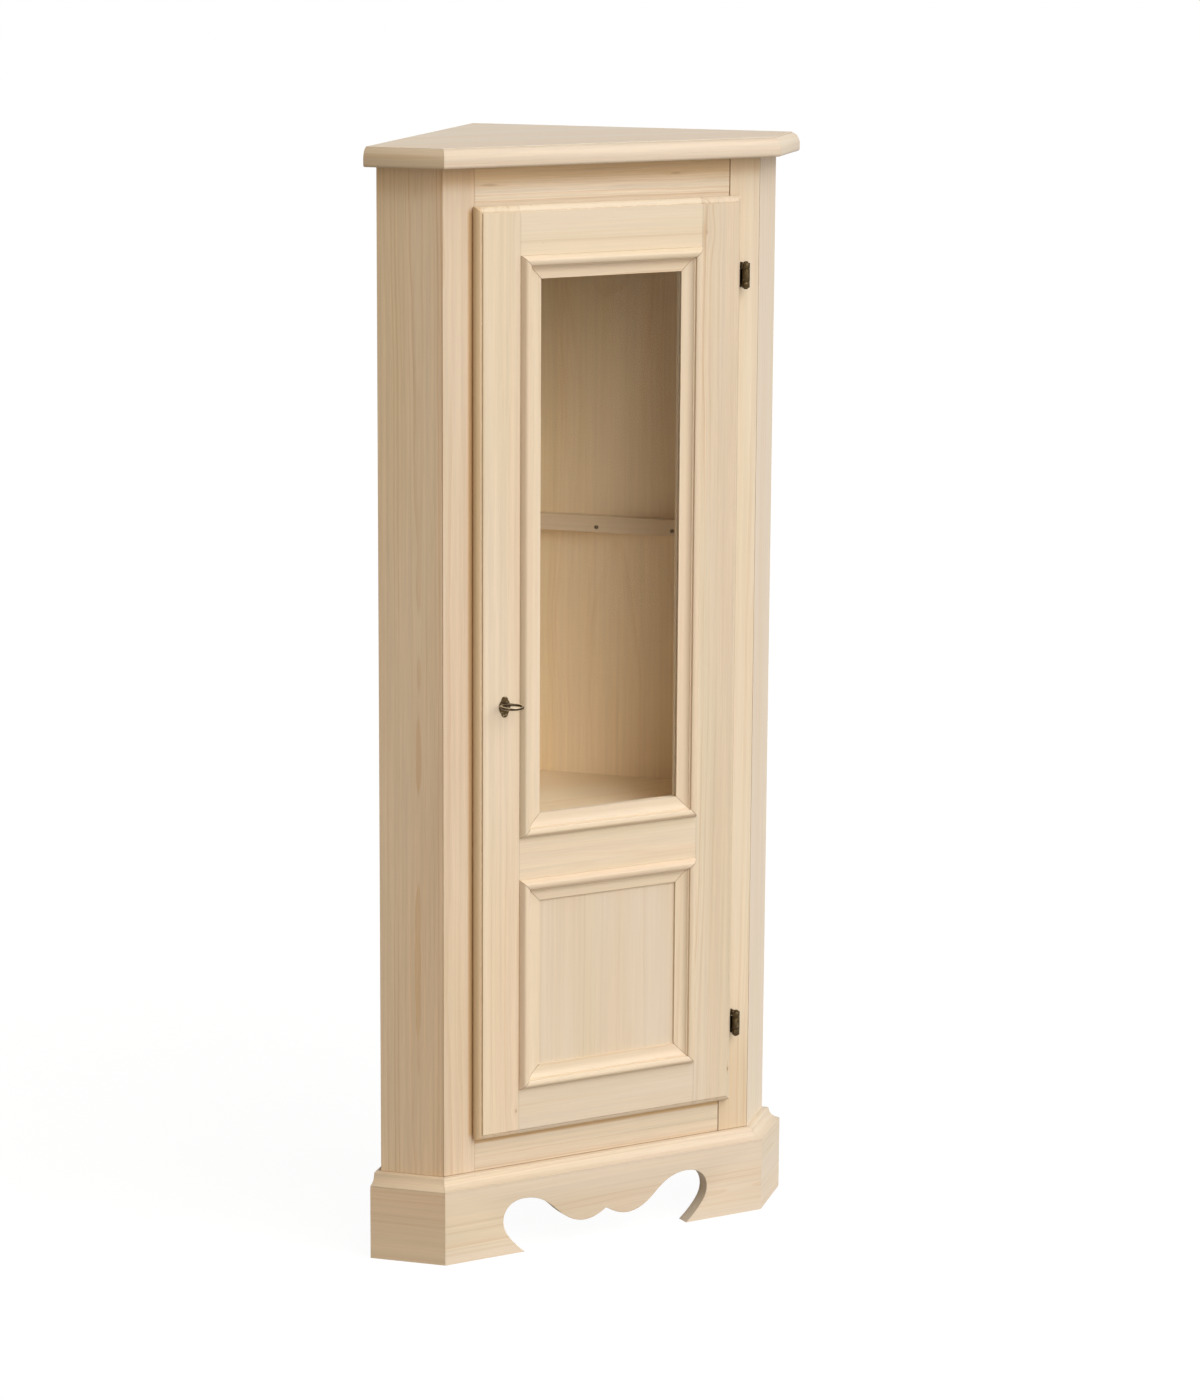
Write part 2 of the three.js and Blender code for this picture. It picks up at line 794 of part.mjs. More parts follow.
function addHinge(name, level) {
  const low = level - hingeHeight / 2;
  const high = level + hingeHeight / 2;
  const middleLow = level - middleKnuckleHeight / 2;
  const middleHigh = level + middleKnuckleHeight / 2;
  const half = leafThickness / 2;
  const [lowTube, lowBore] = knuckle(hingeX, low, middleLow - knuckleGap);
  const [highTube, highBore] = knuckle(hingeX, middleHigh + knuckleGap, high);
  const plateFront = frontPlane + jointGap;
  const plate = block(hingeX - half, hingeX + half, plateFront, frontPlane + frameLeafDepth, low, high);
  const neck = (x, back, z0, z1) => block(x - half, x + half, hingeY, back, z0, z1);
  const frameLeaf = joined(
    lowTube,
    highTube,
    plate,
    neck(hingeX, plateFront + half, low, middleLow - knuckleGap),
    neck(hingeX, plateFront + half, middleHigh + knuckleGap, high),
  );
  addPiece(carcass, `${name}_frame_leaf`, cut(frameLeaf, lowBore, highBore), bronze());
  const axisX = hingeX - doorShift;
  const [tube, bore] = knuckle(axisX, middleLow, middleHigh);
  const leafFront = doorBack - doorGap - doorLeafWidth;
  const leaf = block(doorHalf - leafThickness, doorHalf, leafFront, doorBack, middleLow, middleHigh);
  const bridgeFront = hingeY + bridgeSetback;
  const bridgeBack = bridgeFront + leafThickness;
  const bridge = block(doorHalf - half, axisX + half, bridgeFront, bridgeBack, middleLow, middleHigh);
  const doorNeck = neck(axisX, bridgeBack, middleLow, middleHigh);
  addPiece(door, `${name}_door_leaf`, cut(joined(tube, leaf, bridge, doorNeck), bore), bronze());
  addPiece(carcass, `${name}_pin`, hingePin(low - knuckleGap, high + knuckleGap), bronze());
}

function hingePin(low, high) {
  const outline = [
    [0, low - pinCapHeight],
    [pinCapRadius / 2, low - pinCapHeight],
    [pinCapRadius, low - pinCapHeight / 2],
    [pinCapRadius, low],
    [pinRadius, low],
    [pinRadius, high],
    [pinCapRadius, high],
    [pinCapRadius, high + pinCapHeight / 2],
    [pinCapRadius / 2, high + pinCapHeight],
    [0, high + pinCapHeight],
  ];
  const points = outline.map(([radius, z]) => new THREE.Vector2(radius, z));
  return new THREE.LatheGeometry(points, roundSides).rotateX(Math.PI / 2).translate(hingeX, hingeY, 0);
}

// Lock: a case on the back of the door with its bolt, an escutcheon and the key
function addLock() {
  const left = -openingHalf - doorShift + lockCaseEdge;
  const right = left + lockCaseWidth;
  const front = doorBack + jointGap;
  const back = front + lockCaseDepth;
  const low = lockLevel - lockCaseHeight / 2;
  const high = lockLevel + lockCaseHeight / 2;
  const wall = lockCaseWall;
  const boltMiddle = doorBack + lockCaseDepth / 2;
  const boltTop = lockLevel - boltDrop;
  const boltBottom = boltTop - boltHeight;
  const slot = block(
    left - cutOverrun,
    left + wall * 2,
    boltMiddle - boltThickness / 2 - boltClearance,
    boltMiddle + boltThickness / 2 + boltClearance,
    boltBottom - boltClearance,
    boltTop + boltClearance,
  );
  const hollow = block(
    left + wall,
    right - wall,
    front - cutOverrun,
    back - wall,
    low + wall,
    high - wall,
  );
  const lockCase = cut(block(left, right, front, back, low, high), hollow, slot);
  addPiece(door, "lock_case", lockCase, steel());
  const bolt = block(
    left,
    left + boltLength,
    boltMiddle - boltThickness / 2,
    boltMiddle + boltThickness / 2,
    boltBottom,
    boltTop,
  );
  addPiece(door, "lock_bolt", bolt, steel());
  addPiece(door, "escutcheon", escutcheonPlate(), bronze());
  addPiece(door, "key", keyGeometry(), bronze());
}

function escutcheonPlate() {
  const shape = new THREE.Shape();
  const wide = (share) => (share * escutcheonWidth) / 2;
  const high = (share) => (share * escutcheonHeight) / 2;
  shape.moveTo(0, high(1));
  for (const [ax, az, bx, bz, endX, endZ] of escutcheonCurveShares) {
    shape.bezierCurveTo(wide(ax), high(az), wide(bx), high(bz), wide(endX), high(endZ));
  }
  for (const [ax, az, bx, bz, endX, endZ] of escutcheonCurveShares) {
    shape.bezierCurveTo(-wide(ax), -high(az), -wide(bx), -high(bz), -wide(endX), -high(endZ));
  }
  const settings = {
    depth: escutcheonThickness,
    bevelEnabled: false,
    curveSegments: escutcheonCurveSteps,
  };
  const plate = new THREE.ExtrudeGeometry(shape, settings);
  plate.rotateX(Math.PI / 2).translate(keyX, doorFace - jointGap, lockLevel - escutcheonDrop);
  const front = doorFace - jointGap - escutcheonThickness - cutOverrun;
  return cut(plate, ...keyholeCutters(front, doorFace));
}

// The key as it stands with the bolt drawn back: bow and bit both lie level. Half a turn, past the
// upright place where the key goes in and out, throws the bolt.
function keyGeometry() {
  const bowMiddle = doorFace - bowStart - bowLength / 2;
  const tip = doorBack + keyTipDepth;
  const shank = rod(keyShankRadius, doorFace - bowStart - bowBar, tip, keyX, lockLevel, "y");
  const collarBack = doorFace - bowStart + collarLength;
  const collar = rod(collarRadius, doorFace - bowStart, collarBack, keyX, lockLevel, "y");
  const bow = new THREE.TorusGeometry((bowWidth - bowBar) / 2, bowBar / 2, bowBarSides, bowSteps);
  bow.scale(1, bowLength / bowWidth, 1).translate(keyX, bowMiddle, lockLevel);
  const bit = block(
    keyX,
    keyX + keyBitLength,
    tip - keyBitHeight,
    tip,
    lockLevel - keyBitThickness / 2,
    lockLevel + keyBitThickness / 2,
  );
  return joined(shank, collar, bow, bit);
}

addTop();
addBase();
addPlinth();
addCarcass();
addInsideBoards();
addDoorFrame();
addDoorInfill();
for (const [name, level] of hingeLevels()) {
  addHinge(name, level);
}
addLock();

export default cupboard;
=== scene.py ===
"""The looks of a raw pine corner cupboard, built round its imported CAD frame.

Metres, +Z up, front facing -Y. Each piece is modelled at its own place in the frame. A board whose
shape is right stays as the frame gives it, and gets eased edges and its grain here.
"""

import math
import random
from dataclasses import dataclass

import bmesh
import bpy
from mathutils import Matrix, Vector


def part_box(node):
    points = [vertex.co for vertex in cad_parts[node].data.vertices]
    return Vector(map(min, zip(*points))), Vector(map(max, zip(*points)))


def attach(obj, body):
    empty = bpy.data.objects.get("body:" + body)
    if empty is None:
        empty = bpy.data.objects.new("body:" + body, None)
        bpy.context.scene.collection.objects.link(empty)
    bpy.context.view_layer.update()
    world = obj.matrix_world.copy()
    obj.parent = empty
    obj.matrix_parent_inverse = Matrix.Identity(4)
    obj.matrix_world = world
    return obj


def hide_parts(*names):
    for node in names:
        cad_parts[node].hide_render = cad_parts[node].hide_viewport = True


bl_info = {
    "name": "Corner Cupboard",
    "version": (1, 0, 0),
    "blender": (4, 5, 0),
    "location": "View3D > Sidebar > Cupboard",
    "description": "Builds the wood, glass and metal of a pine corner cupboard on its CAD frame",
    "category": "Add Mesh",
}

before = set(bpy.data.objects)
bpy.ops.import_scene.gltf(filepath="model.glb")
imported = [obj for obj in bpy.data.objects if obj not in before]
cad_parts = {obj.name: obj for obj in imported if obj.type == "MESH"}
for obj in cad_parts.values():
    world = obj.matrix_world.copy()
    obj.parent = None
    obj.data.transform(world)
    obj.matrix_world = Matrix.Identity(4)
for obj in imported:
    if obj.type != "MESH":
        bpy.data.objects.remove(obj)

MM = 0.001
SLANT = math.sqrt(0.5)
UP = Vector((0, 0, 1))
TO_ROOM = Vector((0, -1, 0))
LEVEL = Vector((1, 0, 0))
RIGHT_OUT = Vector((SLANT, -SLANT, 0))
LEFT_OUT = Vector((-SLANT, -SLANT, 0))
RIGHT_BACKWARD = Vector((SLANT, SLANT, 0))
LEFT_BACKWARD = Vector((-SLANT, SLANT, 0))
FRAME_MITRE = math.tan(math.pi / 8)
SQUARE_MITRE = 1.0
SQUARE_END = 0.0
GROUND_EDGE = 0.3 * MM
JOINT_GAP = 0.3 * MM
NO_WIDTH = 1e-5
WELD = 0.01 * MM
LEAF_HALF = 1.2 * MM
BOW_LENGTH = 41 * MM

# Places that the frame gives
DOOR_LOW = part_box("door_left_stile")[0]
DOOR_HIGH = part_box("door_right_stile")[1]
TOP_RAIL_LOW, TOP_RAIL_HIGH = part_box("frame_top_rail")
BOTTOM_RAIL_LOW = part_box("frame_bottom_rail")[0]
FRAME_FRONT = TOP_RAIL_LOW.y
LEAF_FRONT = FRAME_FRONT - 11 * MM
HINGE_LOW, HINGE_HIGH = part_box("upper_hinge_pin")
HINGE_X = (HINGE_LOW.x + HINGE_HIGH.x) / 2
HINGE_Y = (HINGE_LOW.y + HINGE_HIGH.y) / 2
KEY_LOW, KEY_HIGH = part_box("key")
KEY_X = (KEY_LOW.x + KEY_HIGH.x) / 2
KEY_Z = (KEY_LOW.z + KEY_HIGH.z) / 2
BOW_BACK = KEY_LOW.y + BOW_LENGTH


def paint(code):
    """A colour written as six hex digits, as the plain light values that Blender keeps."""
    values = []
    for place in (0, 2, 4):
        share = int(code[place : place + 2], 16) / 255
        values.append(share / 12.92 if share <= 0.04045 else ((share + 0.055) / 1.055) ** 2.4)
    return tuple(values)


# Sizes and colours that a user would change


def colour_setting(name, description, default):
    return bpy.props.FloatVectorProperty(
        name=name, description=description, default=default, subtype="COLOR", min=0.0, max=1.0
    )


def length_setting(name, description, default, least, most):
    """A length, with its default and its limits given in millimetres."""
    limits = {"min": least * MM, "max": most * MM}
    return bpy.props.FloatProperty(
        name=name, description=description, default=default * MM, subtype="DISTANCE", **limits
    )


def share_setting(name, description, default):
    return bpy.props.FloatProperty(
        name=name, description=description, default=default, subtype="FACTOR", min=0.0, max=1.0
    )


def angle_setting(name, description, degrees):
    return bpy.props.FloatProperty(
        name=name, description=description, default=math.radians(degrees), subtype="ANGLE"
    )


def strength_setting(name, description, default, most):
    return bpy.props.FloatProperty(
        name=name, description=description, default=default, min=0.0, max=most
    )


class CupboardWood(bpy.types.PropertyGroup):
    """The pine and the plywood."""

    early_wood: colour_setting("Early Wood", "Pale wood between the ring lines", paint("e5d3ba"))
    late_wood: colour_setting("Late Wood", "Darker line at the end of each ring", paint("cda97c"))
    knot_wood: colour_setting("Knot", "Heart of a knot", paint("7a5433"))
    ring_spacing: length_setting("Ring Spacing", "Width of one year's ring", 3.4, 1, 20)
    ring_strength: share_setting("Ring Strength", "How strongly the ring lines show", 0.4)
    ply_strength: share_setting(
        "Plywood Figure", "How strongly the figure of the plywood shows", 0.3
    )
    roughness: share_setting("Roughness", "Roughness of the planed wood", 0.58)


class CupboardShape(bpy.types.PropertyGroup):
    """Small sizes of the woodwork."""

    arris: length_setting("Arris", "How far the edges of the boards are eased", 0.6, 0.1, 5)
    corner_arris: length_setting(
        "Front Corner", "How far the long front corners of the carcass are rounded", 2.2, 0.1, 10
    )
    door_edge: length_setting(
        "Door Edge", "Radius of the rounding along the door's edge", 10.5, 2, 20
    )
    door_quirk: length_setting(
        "Door Quirk", "Step between the door's face and the rounding of its edge", 2.6, 0.1, 4
    )


class CupboardMetal(bpy.types.PropertyGroup):
    """The fittings' metal and the glass."""

    bronze: colour_setting(
        "Bronze", "Darkened bronze of the hinges and the key's plate", paint("4d3f2a")
    )
    # The key's dark metal, and the lighter metal of its upper and lower faces: polish from
    # handling, and a painted highlight
    key_metal: colour_setting(
        "Key", "Metal of the key, dark where it isn't handled", paint("3c3022")
    )
    handled_key: colour_setting(
        "Handled Key", "Metal of the key where fingers have polished it", paint("e2d4b6")
    )
    worn_bronze: colour_setting("Worn Bronze", "Bronze where it is rubbed bright", paint("b79f7c"))
    steel: colour_setting("Steel", "Steel of the lock and the screws", paint("a7a6a2"))
    glass: colour_setting("Glass", "Tint of the pane", paint("fbfdfc"))


class CupboardStage(bpy.types.PropertyGroup):
    """The light."""

    key_light: strength_setting("Key Light", "Strength of the high lamp on the right", 1.85, 20.0)
    key_turn: angle_setting(
        "Key Light Turn", "How far the high lamp stands to the right of the front", 26
    )
    key_height: angle_setting("Key Light Height", "How high the high lamp stands", 50)
    key_softness: angle_setting(
        "Key Light Softness", "How wide the high lamp looks from the cupboard", 50
    )
    key_colour: colour_setting("Key Light Colour", "Colour of the high lamp", (0.87, 0.93, 1.0))
    front_light: strength_setting(
        "Front Light", "Strength of the low lamp in front, which reaches the inside", 1.58, 20.0
    )
    front_turn: angle_setting(
        "Front Light Turn", "How far the low lamp stands to the right of the front", 5
    )
    front_height: angle_setting("Front Light Height", "How high the low lamp stands", 23)
    front_softness: angle_setting(
        "Front Light Softness", "How wide the low lamp looks from the cupboard", 60
    )
    front_colour: colour_setting("Front Light Colour", "Colour of the low lamp", (1.0, 0.93, 0.85))
    fill_light: strength_setting("Fill Light", "Strength of the light from all round", 0.2, 2.0)
    fill_colour: colour_setting(
        "Fill Colour", "Colour of the light from all round", (1.0, 0.84, 0.68)
    )


# Modelling helpers


def deselect():
    if bpy.context.mode != "OBJECT":
        bpy.ops.object.mode_set(mode="OBJECT")
    bpy.ops.object.select_all(action="DESELECT")


def choose(piece):
    deselect()
    piece.select_set(True)
    bpy.context.view_layer.objects.active = piece


def edit(piece):
    choose(piece)
    bpy.ops.object.mode_set(mode="EDIT")
    bpy.ops.mesh.select_all(action="SELECT")


def leave_edit():
    bpy.ops.object.mode_set(mode="OBJECT")


def pick(piece, kind, test):
    """Selects the vertices, edges or faces of the edited piece that pass a test."""
    bpy.ops.mesh.select_mode(type=kind)
    bpy.ops.mesh.select_all(action="DESELECT")
    shape = bmesh.from_edit_mesh(piece.data)
    parts = {"VERT": shape.verts, "EDGE": shape.edges, "FACE": shape.faces}[kind]
    for part in parts:
        if test(part):
            part.select_set(True)
    shape.select_flush_mode()
    bmesh.update_edit_mesh(piece.data)


def push(offset):
    """Extrudes what is selected by an offset."""
    bpy.ops.mesh.extrude_region_move(TRANSFORM_OT_translate={"value": offset})


def face_out():
    bpy.ops.mesh.select_all(action="SELECT")
    bpy.ops.mesh.normals_make_consistent(inside=False)


def named(name):
    """Names the piece just added and puts its place into its mesh."""
    piece = bpy.context.active_object
    piece.name = name
    piece.data.name = name
    bpy.ops.object.transform_apply(location=True, rotation=True, scale=True)
    return piece


def add_box(name, low, high):
    deselect()
    low, high = Vector(low), Vector(high)
    bpy.ops.mesh.primitive_cube_add(size=1, location=(low + high) / 2)
    bpy.context.active_object.scale = high - low
    return named(name)


def add_rod(name, radius, start, end, sides):
    """A cylinder from one point to another."""
    deselect()
    start, end = Vector(start), Vector(end)
    way = end - start
    turn = way.to_track_quat("Z", "Y").to_euler()
    bpy.ops.mesh.primitive_cylinder_add(
        vertices=sides, radius=radius, depth=way.length, location=(start + end) / 2, rotation=turn
    )
    return named(name)


def draw_outline(name, points):
    """Draws a face: one vertex is extruded from point to point, and the loop is filled."""
    deselect()
    bpy.ops.mesh.primitive_plane_add(size=MM, location=points[0])
    piece = named(name)
    edit(piece)
    bpy.ops.mesh.select_mode(type="VERT")
    bpy.ops.mesh.select_all(action="SELECT")
    bpy.ops.mesh.merge(type="CENTER")
    for here, there in zip(points, points[1:]):
        push(there - here)
    bpy.ops.mesh.select_all(action="SELECT")
    bpy.ops.mesh.edge_face_add()
    return piece


def thicken(offset):
    """Extrudes the whole of a flat face into a solid."""
    bpy.ops.mesh.select_all(action="SELECT")
    push(offset)
    face_out()


def saw(point, normal):
    """Saws through the edited piece and throws away what lies on the normal's side."""
    bpy.ops.mesh.select_all(action="SELECT")
    bpy.ops.mesh.bisect(plane_co=point, plane_no=normal, use_fill=True, clear_outer=True)


def copy_of(piece, name):
    choose(piece)
    bpy.ops.object.duplicate()
    return named(name)


def add_modifier(piece, name, kind, **settings):
    modifier = piece.modifiers.new(name, kind)
    for setting, value in settings.items():
        setattr(modifier, setting, value)


def worked(piece, other, operation):
    """Cuts another solid out of a piece, or joins it on, and removes that other solid."""
    add_modifier(piece, "worked", "BOOLEAN", operation=operation, solver="EXACT", object=other)
    choose(piece)
    bpy.ops.object.modifier_apply(modifier="worked")
    bpy.data.objects.remove(other)


def cut_out(piece, cutter):
    worked(piece, cutter, "DIFFERENCE")


def join_on(piece, other):
    worked(piece, other, "UNION")


def smooth(piece, angle=24):
    choose(piece)
    bpy.ops.object.shade_smooth_by_angle(angle=math.radians(angle))


def edge_way(edge):
    first, second = edge.verts
    return (second.co - first.co).normalized()


def edge_middle(edge):
    first, second = edge.verts
    return (first.co + second.co) / 2


def ease_edges(piece, width, test, steps=2):
    """Rounds the edges of the edited piece that pass a test."""
    pick(piece, "EDGE", test)
    bpy.ops.mesh.bevel(offset=width, segments=steps, affect="EDGES")


def rod_end(facing):
    """A test for the end of a rod that looks one way."""
    return lambda face: (face.normal - facing).length < 0.05 and len(face.verts) > 4


def end_edges(place, along):
    """A test for the edges round the end of a strip that runs one way."""
    return lambda edge: all(abs((vert.co - place).dot(along)) < NO_WIDTH for vert in edge.verts)


def round_face(y):
    """A test for the edges round a face that looks to the front or the back."""
    return lambda edge: abs(edge_middle(edge).y - y) < NO_WIDTH and abs(edge_way(edge).y) < 0.5


def upright_at(x, y=None):
    """A test for the upright edges at a place across, and at a depth where one is given."""

    def test(edge):
        middle = edge_middle(edge)
        near = abs(middle.x - x) < 0.1 * MM and (y is None or abs(middle.y - y) < 0.1 * MM)
        return near and abs(edge_way(edge).z) > 0.9

    return test


def eased_rod(name, radius, start, end, sides, edge_width, steps=2):
    """A rod with rounded ends."""
    piece = add_rod(name, radius, start, end, sides)
    way = (Vector(end) - Vector(start)).normalized()
    edit(piece)
    ease_edges(piece, edge_width, lambda edge: abs(edge_way(edge).dot(way)) < 0.1, steps)
    leave_edit()
    return piece


def bezier(points, steps):
    """Points along a Bezier curve, without its first one."""
    found = []
    for step in range(1, steps + 1):
        share = step / steps
        row = [Vector(point) for point in points]
        while len(row) > 1:
            row = [a.lerp(b, share) for a, b in zip(row, row[1:])]
        found.append(tuple(row[0]))
    return found


def curved(start, rows, steps):
    """An outline from a start, one curve for each row of two control points and an end point."""
    points = [start]
    for ax, az, bx, bz, end_x, end_z in rows:
        points += bezier([points[-1], (ax, az), (bx, bz), (end_x, end_z)], steps)
    return points


def spin_round(centre, steps):
    """Spins what is selected right round, and welds the end to the start."""
    bpy.ops.mesh.spin(steps=steps, angle=math.tau, center=centre, axis=UP)
    bpy.ops.mesh.select_all(action="SELECT")
    bpy.ops.mesh.remove_doubles(threshold=WELD)


def middle_of(piece):
    corners = [Vector(corner) for corner in piece.bound_box]
    return (corners[0] + corners[6]) / 2


def settle(piece, material, body, slot, *nodes):
    """Gives a finished piece its material, and hands it to the frame in place of CAD nodes."""
    deselect()
    piece.data.materials.clear()
    piece.data.materials.append(material)
    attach(piece, body)
    if nodes:
        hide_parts(*nodes)


# Materials


class Wiring:
    """Places nodes in a tree and joins them, one call for each node."""

    def __init__(self, tree):
        self.tree = tree

    def put(self, socket, value):
        if isinstance(value, bpy.types.NodeSocket):
            self.tree.links.new(value, socket)
        else:
            socket.default_value = value

    def node(self, kind, inputs=(), **settings):
        """Places a node. Its inputs are given by their names, or in order from the first one."""
        node = self.tree.nodes.new(kind)
        for name, value in settings.items():
            setattr(node, name, value)
        pairs = inputs.items() if isinstance(inputs, dict) else enumerate(inputs)
        for place, value in pairs:
            self.put(node.inputs[place], value)
        return node

    def result(self, kind, inputs=(), **settings):
        """Places a node and gives its first output."""
        return self.node(kind, inputs, **settings).outputs[0]

    def group(self, name, build, inputs):
        """Places a node group, which is built when it is first needed. Gives its outputs."""
        tree = bpy.data.node_groups.get(name) or build(name)
        return self.node("ShaderNodeGroup", inputs, node_tree=tree).outputs

    def show(self, surface, kind="ShaderNodeOutputMaterial"):
        """Leads a shader to the tree's output."""
        self.node(kind, {"Surface": surface})

    def maths(self, operation, *values):
        return self.result("ShaderNodeMath", values, operation=operation)

    def vectors(self, operation, *values):
        return self.result("ShaderNodeVectorMath", values, operation=operation)

    def dot(self, first, second):
        node = self.node("ShaderNodeVectorMath", (first, second), operation="DOT_PRODUCT")
        return node.outputs["Value"]

    def distance(self, across, up):
        """How far a point lies from the middle, from its two measures."""
        squares = [self.maths("POWER", value, 2.0) for value in (across, up)]
        return self.maths("SQRT", self.maths("ADD", *squares))

    def noise(self, vector, stretch, detail=2.0, roughness=0.5):
        """Noise that is stretched along the axes. Gives its value and its colour."""
        place = self.vectors("MULTIPLY", vector, stretch)
        inputs = {"Vector": place, "Scale": 1.0, "Detail": detail, "Roughness": roughness}
        node = self.node("ShaderNodeTexNoise", inputs)
        return node.outputs[0], node.outputs[1]

    def split(self, vector):
        return self.node("ShaderNodeSeparateXYZ", (vector,)).outputs

    def gather(self, x, y, z):
        return self.result("ShaderNodeCombineXYZ", (x, y, z))

    def between(self, value, low, high, new_low=0.0, new_high=1.0):
        """A smooth step of a value between two limits."""
        values = (value, low, high, new_low, new_high)
        return self.result("ShaderNodeMapRange", values, interpolation_type="SMOOTHSTEP")

    def mix(self, share, first, second, blend="MIX"):
        inputs = {0: share, 6: first, 7: second}
        return self.node("ShaderNodeMix", inputs, data_type="RGBA", blend_type=blend).outputs[2]


FLOAT = "NodeSocketFloat"
COLOUR = "NodeSocketColor"
VECTOR = "NodeSocketVector"
SURFACE = {COLOUR: ["Color"], FLOAT: ["Roughness", "Height"]}


def new_group(name, inputs, outputs):
    """A shader node group. Gives its wiring, the sockets that feed it and those of its result."""
    tree = bpy.data.node_groups.new(name, "ShaderNodeTree")
    for way, sockets in (("INPUT", inputs), ("OUTPUT", outputs)):
        for kind, labels in sockets.items():
            for label in labels:
                tree.interface.new_socket(label, in_out=way, socket_type=kind)
    wiring = Wiring(tree)
    return wiring, wiring.node("NodeGroupInput").outputs, wiring.node("NodeGroupOutput").inputs


WARM_TONE = (0.985, 0.905, 0.835, 1.0)
STRAW_TONE = (0.94, 0.955, 0.865, 1.0)


def build_grain_group(name):
    """Pine grain. X runs along the grain, and the tree's heart lies on the X axis."""
    inputs = {
        VECTOR: ["Vector"],
        COLOUR: ["Early Wood", "Late Wood"],
        FLOAT: ["Ring Spacing", "Ring Strength", "Wander", "Fibre", "Tone", "Roughness"],
    }
    wiring, source, result = new_group(name, inputs, SURFACE)
    place = source["Vector"]
    _, y, z = wiring.split(place)
    # The heart wanders slowly along the tree, and each line ripples a little
    _, slow = wiring.noise(place, (0.9, 2.2, 2.2), 1.5)
    _, ripple = wiring.noise(place, (5.0, 22.0, 22.0), 2.0)
    slow_y, slow_z, _ = wiring.split(slow)
    ripple_y, _, _ = wiring.split(ripple)
    aside_y = wiring.maths("MULTIPLY", wiring.maths("SUBTRACT", slow_y, 0.5), source["Wander"])
    aside_z = wiring.maths("MULTIPLY", wiring.maths("SUBTRACT", slow_z, 0.5), source["Wander"])
    near_y = wiring.maths("ADD", y, aside_y)
    near_z = wiring.maths("ADD", z, aside_z)
    radius = wiring.distance(near_y, near_z)
    shaken = wiring.maths("MULTIPLY_ADD", ripple_y, 3.5 * MM, radius)
    years = wiring.maths("DIVIDE", shaken, source["Ring Spacing"])
    # Years differ in width and in how dark they end, and some stretches hardly show them
    width_inputs = {"W": wiring.maths("MULTIPLY", years, 0.31), "Scale": 1.0, "Detail": 3.0}
    widths = wiring.result("ShaderNodeTexNoise", width_inputs, noise_dimensions="1D")
    years = wiring.maths("MULTIPLY_ADD", widths, 5.0, years)
    share = wiring.maths("FRACT", years)
    year = {"W": wiring.maths("FLOOR", years)}
    darkness = wiring.result("ShaderNodeTexWhiteNoise", year, noise_dimensions="1D")
    darkness = wiring.maths("POWER", darkness, 1.8)
    darkness = wiring.maths("MULTIPLY_ADD", darkness, 0.85, 0.15)
    rise = wiring.between(share, 0.25, 0.9)
    fall = wiring.between(share, 0.9, 1.0, 1.0, 0.0)
    late = wiring.maths("MULTIPLY", wiring.maths("MULTIPLY", rise, fall), darkness)
    patch, _ = wiring.noise(place, (1.6, 26.0, 26.0), 2.0)
    late = wiring.maths("MULTIPLY", late, wiring.between(patch, 0.3, 0.65, 0.35, 1.0))
    # Fibres, broader streaks and slow changes of tone
    fibre, _ = wiring.noise(place, (20.0, 900.0, 900.0), 3.0, 0.65)
    streak, _ = wiring.noise(place, (2.2, 150.0, 150.0), 3.0, 0.6)
    _, tone_colour = wiring.noise(place, (0.9, 13.0, 13.0), 2.0)
    red, green, _ = wiring.split(tone_colour)
    ring_share = wiring.maths("MULTIPLY", late, source["Ring Strength"])
    colour = wiring.mix(ring_share, source["Early Wood"], source["Late Wood"])
    warm = wiring.maths("MULTIPLY", wiring.between(red, 0.4, 0.7), source["Tone"])
    colour = wiring.mix(warm, colour, WARM_TONE, "MULTIPLY")
    straw = wiring.maths("MULTIPLY", wiring.between(green, 0.45, 0.72), source["Tone"])
    colour = wiring.mix(straw, colour, STRAW_TONE, "MULTIPLY")
    fine = wiring.maths("MULTIPLY", wiring.maths("SUBTRACT", fibre, 0.5), source["Fibre"])
    broad = wiring.maths("MULTIPLY", wiring.maths("SUBTRACT", streak, 0.5), source["Fibre"])
    light = wiring.maths("MULTIPLY_ADD", broad, 1.9, wiring.maths("MULTIPLY_ADD", fine, 1.3, 1.0))
    colour = wiring.mix(1.0, colour, wiring.gather(light, light, light), "MULTIPLY")
    wiring.put(result["Color"], colour)
    rough = wiring.maths("MULTIPLY_ADD", late, -0.08, source["Roughness"])
    wiring.put(result["Roughness"], wiring.maths("MULTIPLY_ADD", fine, 0.6, rough))
    height = wiring.maths("MULTIPLY_ADD", fibre, 0.5, wiring.maths("MULTIPLY", late, 0.6))
    wiring.put(result["Height"], height)
    return wiring.tree


